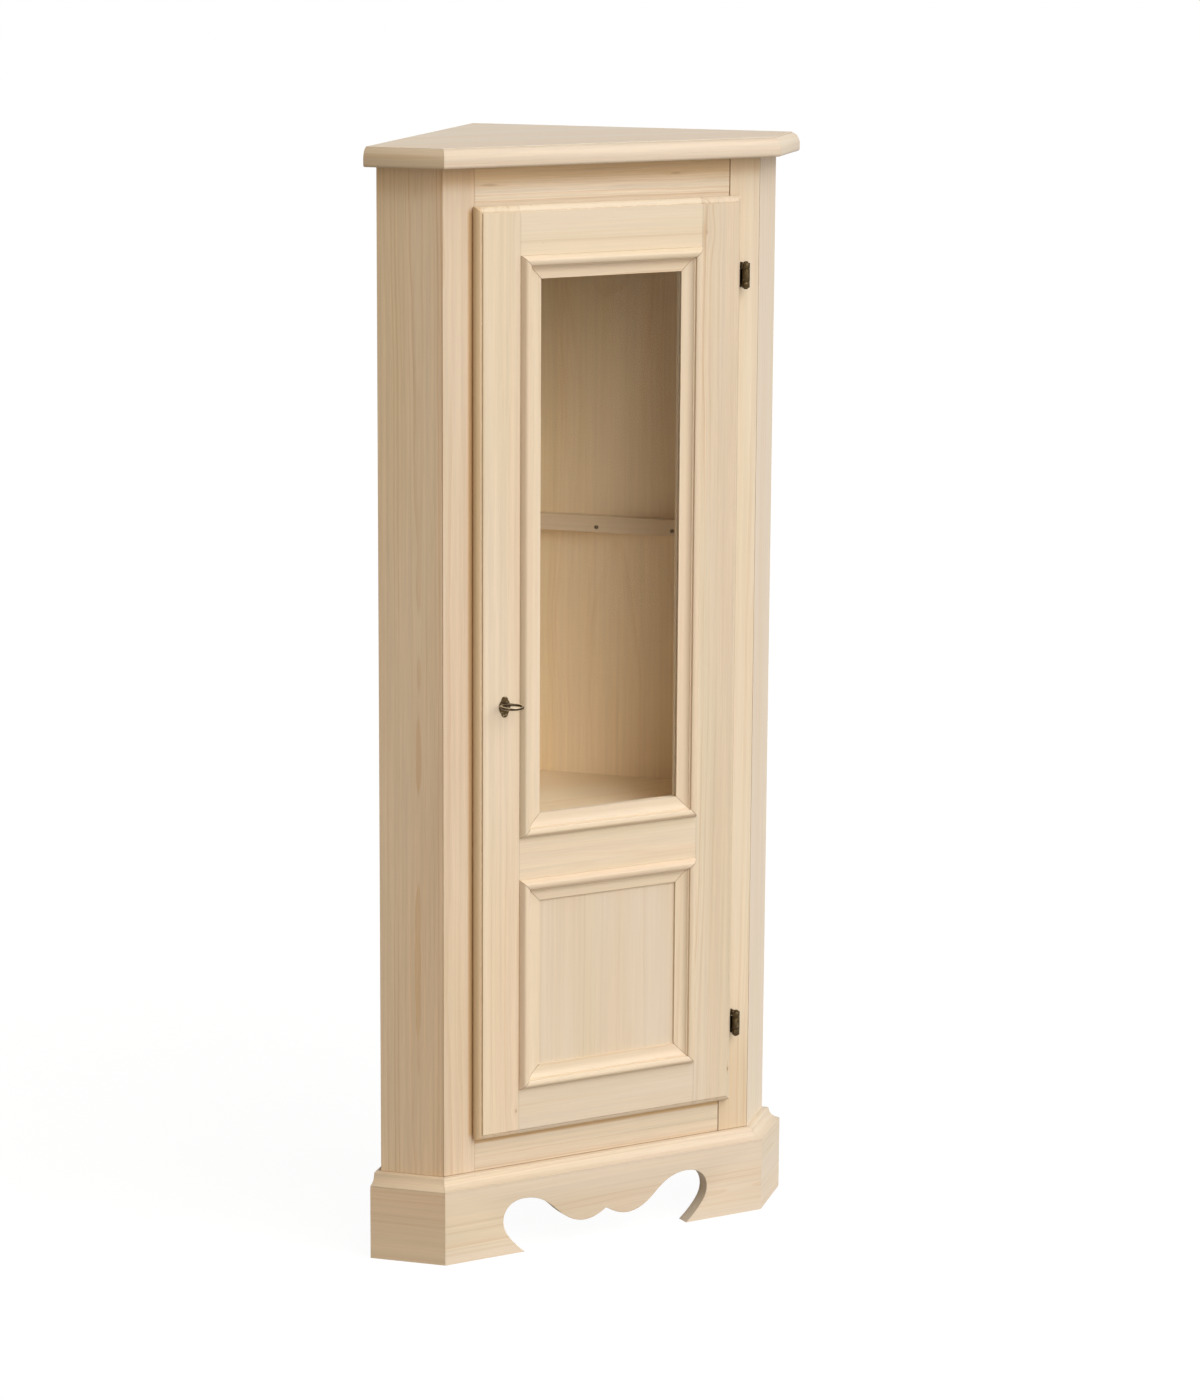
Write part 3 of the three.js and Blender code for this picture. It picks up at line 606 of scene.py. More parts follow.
def build_knot_group(name):
    """A knot in a board: the grain parts round it, and its heart is dark."""
    inputs = {VECTOR: ["Vector", "Centre"], FLOAT: ["Size", "Reach", "Slimness"]}
    outputs = {VECTOR: ["Vector"], FLOAT: ["Heart", "Halo"]}
    wiring, source, result = new_group(name, inputs, outputs)
    x, y, z = wiring.split(wiring.vectors("SUBTRACT", source["Vector"], source["Centre"]))
    _, wobble = wiring.noise(source["Vector"], (60.0, 60.0, 160.0), 2.0)
    wobble_x, _, _ = wiring.split(wobble)
    along = wiring.maths("MULTIPLY", x, source["Slimness"])
    distance = wiring.maths("DIVIDE", wiring.distance(along, z), source["Size"])
    distance = wiring.maths("MULTIPLY_ADD", wobble_x, 0.5, distance)
    far = wiring.maths("DIVIDE", distance, source["Reach"])
    fading = wiring.maths("MULTIPLY", wiring.maths("POWER", far, 2.0), -1.0)
    bulge = wiring.maths("EXPONENT", fading)
    parted = wiring.maths("MULTIPLY", z, wiring.maths("MULTIPLY_ADD", bulge, -0.8, 1.0))
    moved = wiring.gather(x, y, parted)
    wiring.put(result["Vector"], wiring.vectors("ADD", moved, source["Centre"]))
    wiring.put(result["Heart"], wiring.between(distance, 0.75, 1.25, 1.0, 0.0))
    wiring.put(result["Halo"], wiring.between(distance, 1.0, 3.2, 1.0, 0.0))
    return wiring.tree


def build_seam_group(name):
    """A darkened line where a place along one direction is reached: dirt in a joint, and on
    some pieces painted shade along an edge or in a gap.

    Faces that look against the direction stay clean.
    """
    inputs = {
        VECTOR: ["Vector", "Normal", "Direction"],
        COLOUR: ["Color", "Stain"],
        FLOAT: ["Place", "Width", "Strength", "Bottom", "Top"],
    }
    wiring, source, result = new_group(name, inputs, {COLOUR: ["Color"]})
    place, direction = source["Vector"], source["Direction"]
    away = wiring.maths("SUBTRACT", wiring.dot(place, direction), source["Place"])
    patches, _ = wiring.noise(place, (70.0, 70.0, 70.0), 2.0)
    wobble = wiring.maths("SUBTRACT", patches, 0.55)
    width = wiring.maths("MULTIPLY_ADD", wobble, 1.2 * MM, source["Width"])
    away = wiring.maths("DIVIDE", wiring.maths("ABSOLUTE", away), width)
    _, _, height = wiring.split(place)
    above_bottom = wiring.maths("SUBTRACT", height, source["Bottom"])
    below_top = wiring.maths("SUBTRACT", source["Top"], height)
    fade = 12 * MM
    share = source["Strength"]
    for limit in (
        wiring.between(away, 0.35, 1.0, 1.0, 0.0),
        wiring.between(above_bottom, 0.0, fade),
        wiring.between(below_top, 0.0, fade),
        wiring.between(wiring.dot(source["Normal"], direction), -0.95, -0.6),
    ):
        share = wiring.maths("MULTIPLY", share, limit)
    darker = wiring.mix(1.0, source["Color"], source["Stain"], "MULTIPLY")
    wiring.put(result["Color"], wiring.mix(share, source["Color"], darker))
    return wiring.tree


def build_wear_group(name):
    """Cast and handled metal: cloudy tone, small dents and bright rubbed spots."""
    inputs = {
        VECTOR: ["Vector"],
        COLOUR: ["Metal", "Rubbed"],
        FLOAT: ["Grain", "Rubbing", "Roughness"],
    }
    wiring, source, result = new_group(name, inputs, SURFACE)
    clouds, _ = wiring.noise(source["Vector"], (260.0, 260.0, 260.0), 3.0)
    dent_inputs = {"Vector": source["Vector"], "Scale": source["Grain"], "Detail": 3.0}
    dents = wiring.result("ShaderNodeTexNoise", dent_inputs)
    rubbed = wiring.maths("MULTIPLY", wiring.between(clouds, 0.5, 0.72), source["Rubbing"])
    wiring.put(result["Color"], wiring.mix(rubbed, source["Metal"], source["Rubbed"]))
    rough = wiring.maths("MULTIPLY_ADD", dents, 0.2, source["Roughness"])
    wiring.put(result["Roughness"], wiring.maths("MULTIPLY_ADD", rubbed, -0.15, rough))
    wiring.put(result["Height"], wiring.maths("MULTIPLY_ADD", clouds, 0.6, dents))
    return wiring.tree


def new_material(name):
    """An empty material, and its wiring."""
    material = bpy.data.materials.new(name)
    material.use_nodes = True
    material.node_tree.nodes.clear()
    return material, Wiring(material.node_tree)


def show_surface(wiring, colour, group, bump, depth, finish):
    """Shows a colour with a group's roughness and height, and with a finish that is the same all
    over. Bump is how strongly the height shows, and depth how deep it is."""
    bump_inputs = {"Strength": bump, "Distance": depth, "Height": group["Height"]}
    inputs = {
        "Base Color": colour,
        "Roughness": group["Roughness"],
        "Normal": wiring.result("ShaderNodeBump", bump_inputs),
    }
    wiring.show(wiring.result("ShaderNodeBsdfPrincipled", {**inputs, **finish}))


def opaque(colour):
    return (*(min(1.0, value) for value in colour), 1.0)


def tinted(colour, tint):
    return opaque(value * share for value, share in zip(colour, tint))


# What darkens the wood: dirt in a joint, whose colour is also the painted shade in the door's gaps;
# painted warm shade under the top and beside the door; and darker heartwood
DIRT_AND_GAP_SHADE = (0.3, 0.19, 0.08)
WARM_SHADE = (0.75, 0.5, 0.15)
HEARTWOOD = (0.93, 0.895, 0.85)

# Heights that every piece lies between
UNDER_ALL = -1.0
OVER_ALL = 3.0


@dataclass
class Seam:
    """A joint that has gone dark, and on some pieces painted shade along an edge or in a gap: a
    darkened line where a place is reached.

    The line runs across its direction, from a bottom height to a top height. Faces that look
    against the direction stay clean.
    """

    direction: Vector
    place: float
    width: float
    strength: float
    stain: tuple = DIRT_AND_GAP_SHADE
    bottom: float = UNDER_ALL
    top: float = OVER_ALL


@dataclass
class Knot:
    """Where a knot lies, the size of its heart, how far the grain parts and how it is drawn out."""

    spot: tuple
    size: float
    reach: float
    slimness: float = 0.6
    strength: float = 1.0


@dataclass
class Board:
    """How a board's grain runs: along the grain, the way its face looks, and its own figure.

    Depth and aside give the place of the tree's heart behind and beside the board's middle. Tint is
    the board's colour against the other boards, on some boards with painted light or shade in it;
    figure how strongly its grain shows.
    """

    along: Vector
    facing: Vector
    depth: float = None
    aside: float = None
    tint: tuple = (1, 1, 1)
    knots: tuple = ()
    ply: bool = False
    figure: float = 1.0
    seams: tuple = ()


def wood(piece, board):
    """A wood material for one board, with its own place in the tree."""
    settings = bpy.context.scene.cupboard_wood
    chance = random.Random(piece.name)
    shift = chance.uniform(-3.0, 3.0)
    depth = chance.uniform(0.03, 0.08) if board.depth is None else board.depth
    aside = chance.uniform(-0.05, 0.05) if board.aside is None else board.aside
    # Brings the grain to X and the board's face to -Y
    turn = Matrix((board.along, -board.facing, board.along.cross(-board.facing)))
    offset = Vector((shift, depth, aside)) - turn @ middle_of(piece)
    material, wiring = new_material("wood_" + piece.name)
    coordinates = wiring.node("ShaderNodeTexCoord").outputs
    place = coordinates["Object"]
    mapping = {"Vector": place, "Location": offset, "Rotation": turn.to_euler()}
    vector = wiring.result("ShaderNodeMapping", mapping)
    marks = []
    for knot in board.knots:
        inputs = {
            "Vector": vector,
            "Centre": turn @ Vector(knot.spot) + offset,
            "Size": knot.size,
            "Reach": knot.reach,
            "Slimness": knot.slimness,
        }
        mark = wiring.group("Pine Knot", build_knot_group, inputs)
        vector = mark["Vector"]
        marks.append((mark, knot.strength))
    strength = settings.ply_strength if board.ply else settings.ring_strength
    inputs = {
        "Vector": vector,
        "Early Wood": tinted(settings.early_wood, board.tint),
        "Late Wood": tinted(settings.late_wood, board.tint),
        "Ring Spacing": settings.ring_spacing,
        "Ring Strength": min(1.0, strength * board.figure),
        "Wander": 0.05 if board.ply else 0.02,
        "Fibre": 0.1 * board.figure,
        "Tone": 0.5,
        "Roughness": settings.roughness,
    }
    grain = wiring.group("Pine Grain", build_grain_group, inputs)
    colour = grain["Color"]
    for mark, strength in marks:
        halo = wiring.maths("MULTIPLY", mark["Halo"], 0.35 * strength)
        colour = wiring.mix(halo, colour, opaque(settings.late_wood))
        heart = wiring.maths("MULTIPLY", mark["Heart"], 0.75 * strength)
        colour = wiring.mix(heart, colour, opaque(settings.knot_wood))
    for seam in board.seams:
        inputs = {
            "Vector": place,
            "Normal": coordinates["Normal"],
            "Color": colour,
            "Direction": seam.direction,
            "Place": seam.place,
            "Width": seam.width,
            "Strength": seam.strength,
            "Stain": opaque(seam.stain),
            "Bottom": seam.bottom,
            "Top": seam.top,
        }
        colour = wiring.group("Dirty Joint", build_seam_group, inputs)["Color"]
    finish = {"IOR": 1.45, "Specular IOR Level": 0.4}
    show_surface(wiring, colour, grain, bump=0.25, depth=0.15 * MM, finish=finish)
    return material


def metal(name, colour, rubbed, rubbing, grain, roughness, depth):
    """A metal with its own tone, rubbing and dents, made once and shared."""
    if name in bpy.data.materials:
        return bpy.data.materials[name]
    material, wiring = new_material(name)
    inputs = {
        "Vector": wiring.node("ShaderNodeTexCoord").outputs["Object"],
        "Metal": opaque(colour),
        "Rubbed": opaque(rubbed),
        "Grain": grain,
        "Rubbing": rubbing,
        "Roughness": roughness,
    }
    wear = wiring.group("Handled Metal", build_wear_group, inputs)
    show_surface(wiring, wear["Color"], wear, bump=0.5, depth=depth, finish={"Metallic": 1.0})
    return material


def bronze():
    tints = bpy.context.scene.cupboard_metal
    dents = {"rubbing": 0.25, "grain": 900.0, "roughness": 0.32, "depth": 0.12 * MM}
    return metal("dark_bronze", tints.bronze, tints.worn_bronze, **dents)


def plate_bronze():
    tints = bpy.context.scene.cupboard_metal
    dents = {"rubbing": 0.75, "grain": 1400.0, "roughness": 0.34, "depth": 0.2 * MM}
    return metal("plate_bronze", tints.bronze, tints.worn_bronze, **dents)


def steel():
    tints = bpy.context.scene.cupboard_metal
    dents = {"rubbing": 0.3, "grain": 1500.0, "roughness": 0.3, "depth": 0.05 * MM}
    return metal("brushed_steel", tints.steel, (0.8, 0.8, 0.79), **dents)


def key_metal():
    """The key's bow is lighter on its upper and lower faces: polish from handling, and a painted
    highlight where the lamps glint.
    """
    tints = bpy.context.scene.cupboard_metal
    dents = {"rubbing": 0.4, "grain": 1200.0, "roughness": 0.28, "depth": 0.08 * MM}
    material = metal("handled_key", tints.key_metal, tints.worn_bronze, **dents)
    wiring = Wiring(material.node_tree)
    shader = material.node_tree.nodes["Principled BSDF"]
    place = wiring.node("ShaderNodeTexCoord").outputs
    _, _, rise = wiring.split(place["Normal"])
    _, forward, _ = wiring.split(place["Object"])
    # Polish and a painted highlight: the bow's upper and lower faces are lighter
    bow = wiring.between(forward, BOW_BACK - 8 * MM, BOW_BACK - 2 * MM, 1.0, 0.0)
    facing_up_or_down = wiring.between(wiring.maths("ABSOLUTE", rise), 0.35, 0.85)
    polish_and_highlight = wiring.maths("MULTIPLY", facing_up_or_down, bow)
    dark = shader.inputs["Base Color"].links[0].from_socket
    wiring.put(shader.inputs["Base Color"], wiring.mix(polish_and_highlight, dark, opaque(tints.handled_key)))
    return material


def glass():
    """Clear glass that lets the lamps' light through to the inside."""
    material, wiring = new_material("window_glass")
    place = wiring.node("ShaderNodeTexCoord").outputs["Object"]
    smears, _ = wiring.noise(place, (9.0, 9.0, 4.0), 3.0)
    inputs = {
        "Base Color": opaque(bpy.context.scene.cupboard_metal.glass),
        "Transmission Weight": 1.0,
        "IOR": 1.12,
        "Roughness": wiring.between(smears, 0.55, 0.95, 0.0, 0.01),
    }
    pane = wiring.result("ShaderNodeBsdfPrincipled", inputs)
    clear = wiring.result("ShaderNodeBsdfTransparent")
    path = wiring.node("ShaderNodeLightPath").outputs
    passing = wiring.maths("MAXIMUM", path["Is Shadow Ray"], path["Is Diffuse Ray"])
    wiring.show(wiring.result("ShaderNodeMixShader", (passing, pane, clear)))
    return material


def keep_node(name, make_material, width):
    """Leaves a CAD node in place, eases its edges with modifiers and gives it its material."""
    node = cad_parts[name]
    add_modifier(node, "weld", "WELD", merge_threshold=WELD)
    flat = {"decimate_type": "DISSOLVE", "angle_limit": math.radians(1)}
    add_modifier(node, "flat faces", "DECIMATE", **flat)
    eased = {"segments": 2, "limit_method": "ANGLE", "angle_limit": math.radians(30)}
    add_modifier(node, "eased edges", "BEVEL", width=width, **eased)
    material = make_material(node)
    for slot in node.material_slots:
        slot.material = material


# Tints of single boards against the others. Some of them paint light and shade: the tints of the
# left side, the plinth's left board and the left strips of the top and the base cap are painted
# shade on the left returns, the left post's is painted shade where the light falls off, the pale
# cool tint of the top and the right returns and the right side's are a painted cooler sheen, and
# the two inside tints paint the inside lighter than its lamps make it
PALE = (0.99, 1.03, 1.1)
LIGHT = (1.01, 1.03, 1.05)
COOL = (0.93, 0.95, 0.97)
DULL = (0.93, 0.905, 0.89)
BROWN = (0.92, 0.885, 0.84)
SHADED = (0.895, 0.84, 0.765)
LEFT_STRIP_SHADE = (0.79, 0.745, 0.68)
INSIDE = (1.17, 1.155, 1.08)
INSIDE_FLOOR = (1.09, 1.08, 1.02)
TOP_RAIL = (1.04, 1.07, 1.13)
RIGHT_SIDE = (1.03, 1.07, 1.15)
TOP_FRONT = (0.95, 0.96, 1.0)
CAP_FRONT = (0.955, 0.955, 0.985)
PLINTH = (0.945, 0.965, 0.995)


# Pieces


def strip_piece(name, profile, start, across, rise, length, start_mitre, end_mitre):
    """A moulding: its profile is drawn in place and extruded along, and both ends are sawn.

    Each mitre says how much sooner the strip ends for each step across it.
    """
    along = across.cross(rise)
    spare = 40 * MM
    end_arris = 1.2 * MM
    points = [start - along * spare + across * out + rise * high for out, high in profile]
    piece = draw_outline(name, points)
    thicken(along * (length + 2 * spare))
    ends = (
        (start + along * JOINT_GAP / 2, -along, start_mitre),
        (start + along * (length - JOINT_GAP / 2), along, end_mitre),
    )
    for place, outward, mitre in ends:
        saw(place, outward + across * mitre)
    face_out()
    for place, _, mitre in ends:
        if mitre == SQUARE_END:
            ease_edges(piece, end_arris, end_edges(place, along))
    leave_edit()
    smooth(piece)
    return piece


def edge_strips(prefix, profile, front_board, left_board, right_board):
    """The three strips that edge a board round the front and the two returns."""
    front_low, front_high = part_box(prefix + "_front")
    inner_y, bottom = front_high.y, front_low.z
    width = inner_y - front_low.y
    half = front_high.x - width * FRAME_MITRE + JOINT_GAP / 2
    wall_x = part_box(prefix + "_right")[1].x - width * SLANT
    length = (wall_x - half) / SLANT + JOINT_GAP / 2
    right_corner = Vector((half, inner_y, bottom))
    left_corner = Vector((-half, inner_y, bottom))
    wall = right_corner + RIGHT_BACKWARD * length
    strips = (
        ("front", right_corner, TO_ROOM, 2 * half, (-FRAME_MITRE, -FRAME_MITRE), front_board),
        ("left", left_corner, LEFT_OUT, length, (-FRAME_MITRE, SQUARE_END), left_board),
        ("right", wall, RIGHT_OUT, length, (SQUARE_END, -FRAME_MITRE), right_board),
    )
    for name, start, across, run, mitres, board in strips:
        full = f"{prefix}_{name}"
        piece = strip_piece(full + "_strip", profile, start, across, UP, run, *mitres)
        board.seams = (Seam(across, start.dot(across), 1.3 * MM, 0.8),)
        settle(piece, wood(piece, board), "carcass", "pine", full)


class CUPBOARD_OT_boards(bpy.types.Operator):
    """Eases the edges of the plain boards and gives each its grain"""

    bl_idname = "cupboard.boards"
    bl_label = "Plain Boards"

    def execute(self, context):
        arris = context.scene.cupboard_shape.arris
        rail_end = Seam(LEVEL, TOP_RAIL_HIGH.x, 1.4 * MM, 0.9)
        under_rail = Seam(UP, BOTTOM_RAIL_LOW.z, 1.6 * MM, 0.8)
        # Painted shade: warm brown under the top's overhang and under the door's bottom edge
        under_top = Seam(UP, TOP_RAIL_HIGH.z, 45 * MM, 0.5, WARM_SHADE)
        under_door = Seam(UP, DOOR_LOW.z - 2 * MM, 9 * MM, 0.6, WARM_SHADE)
        corner = Vector((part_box("left_post")[0].x, FRAME_FRONT, 0))
        left_corner = Seam(LEFT_BACKWARD, corner.dot(LEFT_BACKWARD), 1.2 * MM, 0.5)
        # Painted shade on the left side below the top
        left_under_top = Seam(UP, TOP_RAIL_HIGH.z, 60 * MM, 0.2, WARM_SHADE)
        streaks = (
            Knot((-211 * MM, FRAME_FRONT, 1787.6 * MM), 2.6 * MM, 3.0, 0.13, 0.3),
            Knot((133 * MM, FRAME_FRONT, 1795 * MM), 2.6 * MM, 4.0, 0.2, 0.3),
        )
        top_seams = (rail_end, under_top)
        bottom_seams = (rail_end, under_rail, under_door)
        side_seams = (left_corner, left_under_top)
        # The tints of the top, the returns, the left post and the inside boards paint light and
        # shade
        boards = {
            "top_panel": Board(LEVEL, UP, 0.06, 0.03, PALE),
            "base_panel": Board(LEVEL, UP),
            "floor_board": Board(LEVEL, UP),
            "middle_board": Board(LEVEL, UP, 0.05, 0.1, INSIDE_FLOOR),
            "frame_top_rail": Board(
                LEVEL, TO_ROOM, 0.05, 0.04, TOP_RAIL, streaks, figure=2.8, seams=top_seams
            ),
            "frame_bottom_rail": Board(
                LEVEL, TO_ROOM, 0.06, -0.05, COOL, figure=2.0, seams=bottom_seams
            ),
            "left_side": Board(UP, LEFT_OUT, 0.035, 0.015, SHADED, figure=1.8, seams=side_seams),
            "right_side": Board(UP, RIGHT_OUT, 0.06, 0.05, RIGHT_SIDE),
            "left_back": Board(UP, RIGHT_OUT, 0.3, 0.02, INSIDE, ply=True),
            "right_back": Board(UP, LEFT_OUT, 0.3, -0.03, INSIDE, ply=True),
            "rear_corner_post": Board(UP, TO_ROOM, tint=INSIDE),
            "rear_foot": Board(UP, TO_ROOM),
            "plinth_left": Board(LEFT_BACKWARD, LEFT_OUT, 0.05, 0.03, SHADED),
            "plinth_right": Board(RIGHT_BACKWARD, RIGHT_OUT, 0.05, -0.03, PALE),
            "plinth_block_left": Board(UP, TO_ROOM),
            "plinth_block_right": Board(UP, TO_ROOM),
            "shelf_batten_left": Board(LEFT_OUT, RIGHT_OUT),
            "shelf_batten_right": Board(RIGHT_OUT, LEFT_OUT),
        }
        for name, board in boards.items():
            width = arris / 2 if name.startswith("frame_") else arris
            keep_node(name, lambda node, board=board: wood(node, board), width)
        return {"FINISHED"}


class CUPBOARD_OT_posts(bpy.types.Operator):
    """The two posts of the face frame, with the bolt's pocket and the recesses of the hinges"""

    bl_idname = "cupboard.posts"
    bl_label = "Posts"

    def execute(self, context):
        shape = context.scene.cupboard_shape
        shrinkage = 0.9 * MM
        for name, side in (("left_post", -1), ("right_post", 1)):
            low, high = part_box(name)
            if side > 0:
                low.x += shrinkage
            outer_x, inner_x = (high.x, low.x) if side > 0 else (low.x, high.x)
            piece = add_box(name + "_worked", low, high)
            edit(piece)
            saw(Vector((outer_x, low.y, low.z)), Vector((side, FRAME_MITRE, 0)))
            face_out()
            ease_edges(piece, shape.corner_arris, upright_at(outer_x, low.y), 3)
            ease_edges(piece, shape.arris / 2, upright_at(inner_x))
            leave_edit()
            if side < 0:
                self.cut_bolt_pocket(piece)
            else:
                self.cut_hinge_slots(piece)
            smooth(piece)
            settle(piece, wood(piece, self.board(side, low, high)), "carcass", "pine", name)
        return {"FINISHED"}

    def board(self, side, low, high):
        under_post = Seam(UP, low.z, 1.4 * MM, 0.8)
        if side < 0:
            # Painted shade: the left post's darker tint where the light falls off, warm brown under
            # the top, and beside the door's left edge where its shadow falls
            tint, figure = DULL, 1.35
            under_top = Seam(UP, high.z, 45 * MM, 0.4, WARM_SHADE)
            beside = DOOR_LOW.x - 0.8 * MM
            own = Seam(-LEVEL, -beside, 9 * MM, 0.6, WARM_SHADE, DOOR_LOW.z, DOOR_HIGH.z)
        else:
            tint, figure = LIGHT, 0.95
            # Painted shade under the top, weaker on this side
            under_top = Seam(UP, high.z, 40 * MM, 0.25, WARM_SHADE)
            own = Seam(UP, low.z + 60 * MM, 150 * MM, 1.0, HEARTWOOD)
        seams = (under_post, under_top, own)
        return Board(UP, TO_ROOM, 0.055, 0.035 * side, tint, figure=figure, seams=seams)

    def cut_bolt_pocket(self, piece):
        bolt_low, bolt_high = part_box("lock_bolt")
        strike_low, strike_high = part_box("strike_plate")
        play = Vector((0, 1 * MM, 1 * MM))
        deep = 12 * MM
        pocket_low = Vector((strike_high.x - deep, bolt_low.y, bolt_low.z)) - play
        pocket_high = Vector((strike_high.x + MM, bolt_high.y, bolt_high.z)) + play
        cut_out(piece, add_box("pocket", pocket_low, pocket_high))
        seat = Vector((1, 1, 1)) * JOINT_GAP / 2
        cut_out(piece, add_box("seat", strike_low - seat, strike_high + Vector((MM, 0, 0)) + seat))

    def cut_hinge_slots(self, piece):
        half = LEAF_HALF + JOINT_GAP
        for level in ("upper", "lower"):
            low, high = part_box(level + "_hinge_frame_leaf")
            slot_low = (HINGE_X - half, FRAME_FRONT - MM, low.z - JOINT_GAP)
            slot_high = (HINGE_X + half, high.y + JOINT_GAP, high.z + JOINT_GAP)
            cut_out(piece, add_box("slot", slot_low, slot_high))


class CUPBOARD_OT_top_edge(bpy.types.Operator):
    """The rounded strips along the front and the returns of the top"""

    bl_idname = "cupboard.top_edge"
    bl_label = "Top Edge"

    def execute(self, context):
        low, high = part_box("top_edge_front")
        width = high.y - low.y
        rise = high.z - low.z
        rounding = 18 * MM
        under = 5.5 * MM
        nose_start = (width, rise - rounding)
        nose = [nose_start, (width, rise - rounding / 2), (width / 2, rise), (0, rise)]
        profile = [(0, 0), (width - under, 0)]
        profile += bezier([(width - under, 0), (width, 0), (width, under)], 5)
        profile += [nose_start] + bezier(nose, 14)
        front = Board(LEVEL, TO_ROOM, 0.05, -0.03, TOP_FRONT, figure=1.8)
        # The left strip's tint is painted shade, the right strip's a painted cooler sheen
        left = Board(LEFT_BACKWARD, LEFT_OUT, 0.05, 0.02, LEFT_STRIP_SHADE)
        right = Board(RIGHT_BACKWARD, RIGHT_OUT, 0.05, -0.02, PALE)
        edge_strips("top_edge", profile, front, left, right)
        return {"FINISHED"}


class CUPBOARD_OT_base_cap(bpy.types.Operator):
    """The cap moulding between the carcass and the plinth"""

    bl_idname = "cupboard.base_cap"
    bl_label = "Base Cap"

    def execute(self, context):
        low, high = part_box("base_cap_front")
        width = high.y - low.y
        rise = high.z - low.z
        ledge = 33 * MM
        rounding = 2.5 * MM
        drop = 3.2 * MM
        lip = 6.5 * MM
        lip_edge = 2 * MM
        lip_top = 3.2 * MM
        profile = [(0, 0), (width, 0), (width, lip_edge), (width - lip, lip_top)]
        shoulder = (ledge + rounding, rise - drop)
        hollow = [(width - lip, lip_top), (ledge + rounding * 2, lip_top + lip_edge), shoulder]
        profile += bezier(hollow, 9)
        profile += bezier([shoulder, (ledge + rounding, rise), (ledge, rise)], 6)
        profile += [(0, rise)]
        front = Board(LEVEL, TO_ROOM, 0.04, 0.03, CAP_FRONT, figure=1.3)
        # The left strip's tint is painted shade, the right strip's a painted cooler sheen
        left = Board(LEFT_BACKWARD, LEFT_OUT, 0.05, 0.01, BROWN)
        right = Board(RIGHT_BACKWARD, RIGHT_OUT, 0.05, -0.01, PALE)
        edge_strips("base_cap", profile, front, left, right)
        return {"FINISHED"}


# Half of the plinth's cut-out, from its middle point to the tip of the foot. Each row is one curve:
# two control points and an end point, as shares of the half width and of the height.
SCROLL_START = 0.56
SCROLL = [
    (0.06, 0.48, 0.13, 0.4, 0.21, 0.4),
    (0.3, 0.4, 0.385, 0.49, 0.47, 0.66),
    (0.567, 0.87, 0.66, 1, 0.8, 1),
    (0.92, 1, 1, 0.85, 1, 0.63),
    (1, 0.47, 0.96, 0.35, 0.9, 0.21),
    (0.86, 0.117, 0.825, 0.053, 0.795, 0),
]


class CUPBOARD_OT_plinth(bpy.types.Operator):
    """The plinth's front board, cut to a double scroll"""

    bl_idname = "cupboard.plinth"
    bl_label = "Scrolled Plinth"

    def execute(self, context):
        half_width = 197.5 * MM
        height = 94 * MM
        low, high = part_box("plinth_front")
        right_half = curved((0.0, SCROLL_START), SCROLL, 12)
        left_half = [(-x, z) for x, z in reversed(right_half[1:])]
        arch = [(x * half_width, z * height) for x, z in left_half + right_half]
        outline = [(low.x, high.z), (low.x, 0.0)] + arch + [(high.x, 0.0), (high.x, high.z)]
        piece = draw_outline("plinth_front_scroll", [Vector((x, low.y, z)) for x, z in outline])
        thicken(Vector((0, high.y - low.y, 0)))
        for side, x in ((-1, low.x), (1, high.x)):
            saw(Vector((x, low.y, 0)), Vector((side, FRAME_MITRE, 0)))
        face_out()
        on_front = round_face(low.y)

        def on_arch(edge):
            middle = edge_middle(edge)
            return on_front(edge) and abs(middle.x) < half_width + MM and middle.z < height + MM

        ease_edges(piece, context.scene.cupboard_shape.arris * 1.5, on_arch, 3)
        leave_edit()
        smooth(piece, 30)
        board = Board(LEVEL, TO_ROOM, 0.05, 0.02, PLINTH)
        settle(piece, wood(piece, board), "carcass", "pine", "plinth_front")
        return {"FINISHED"}


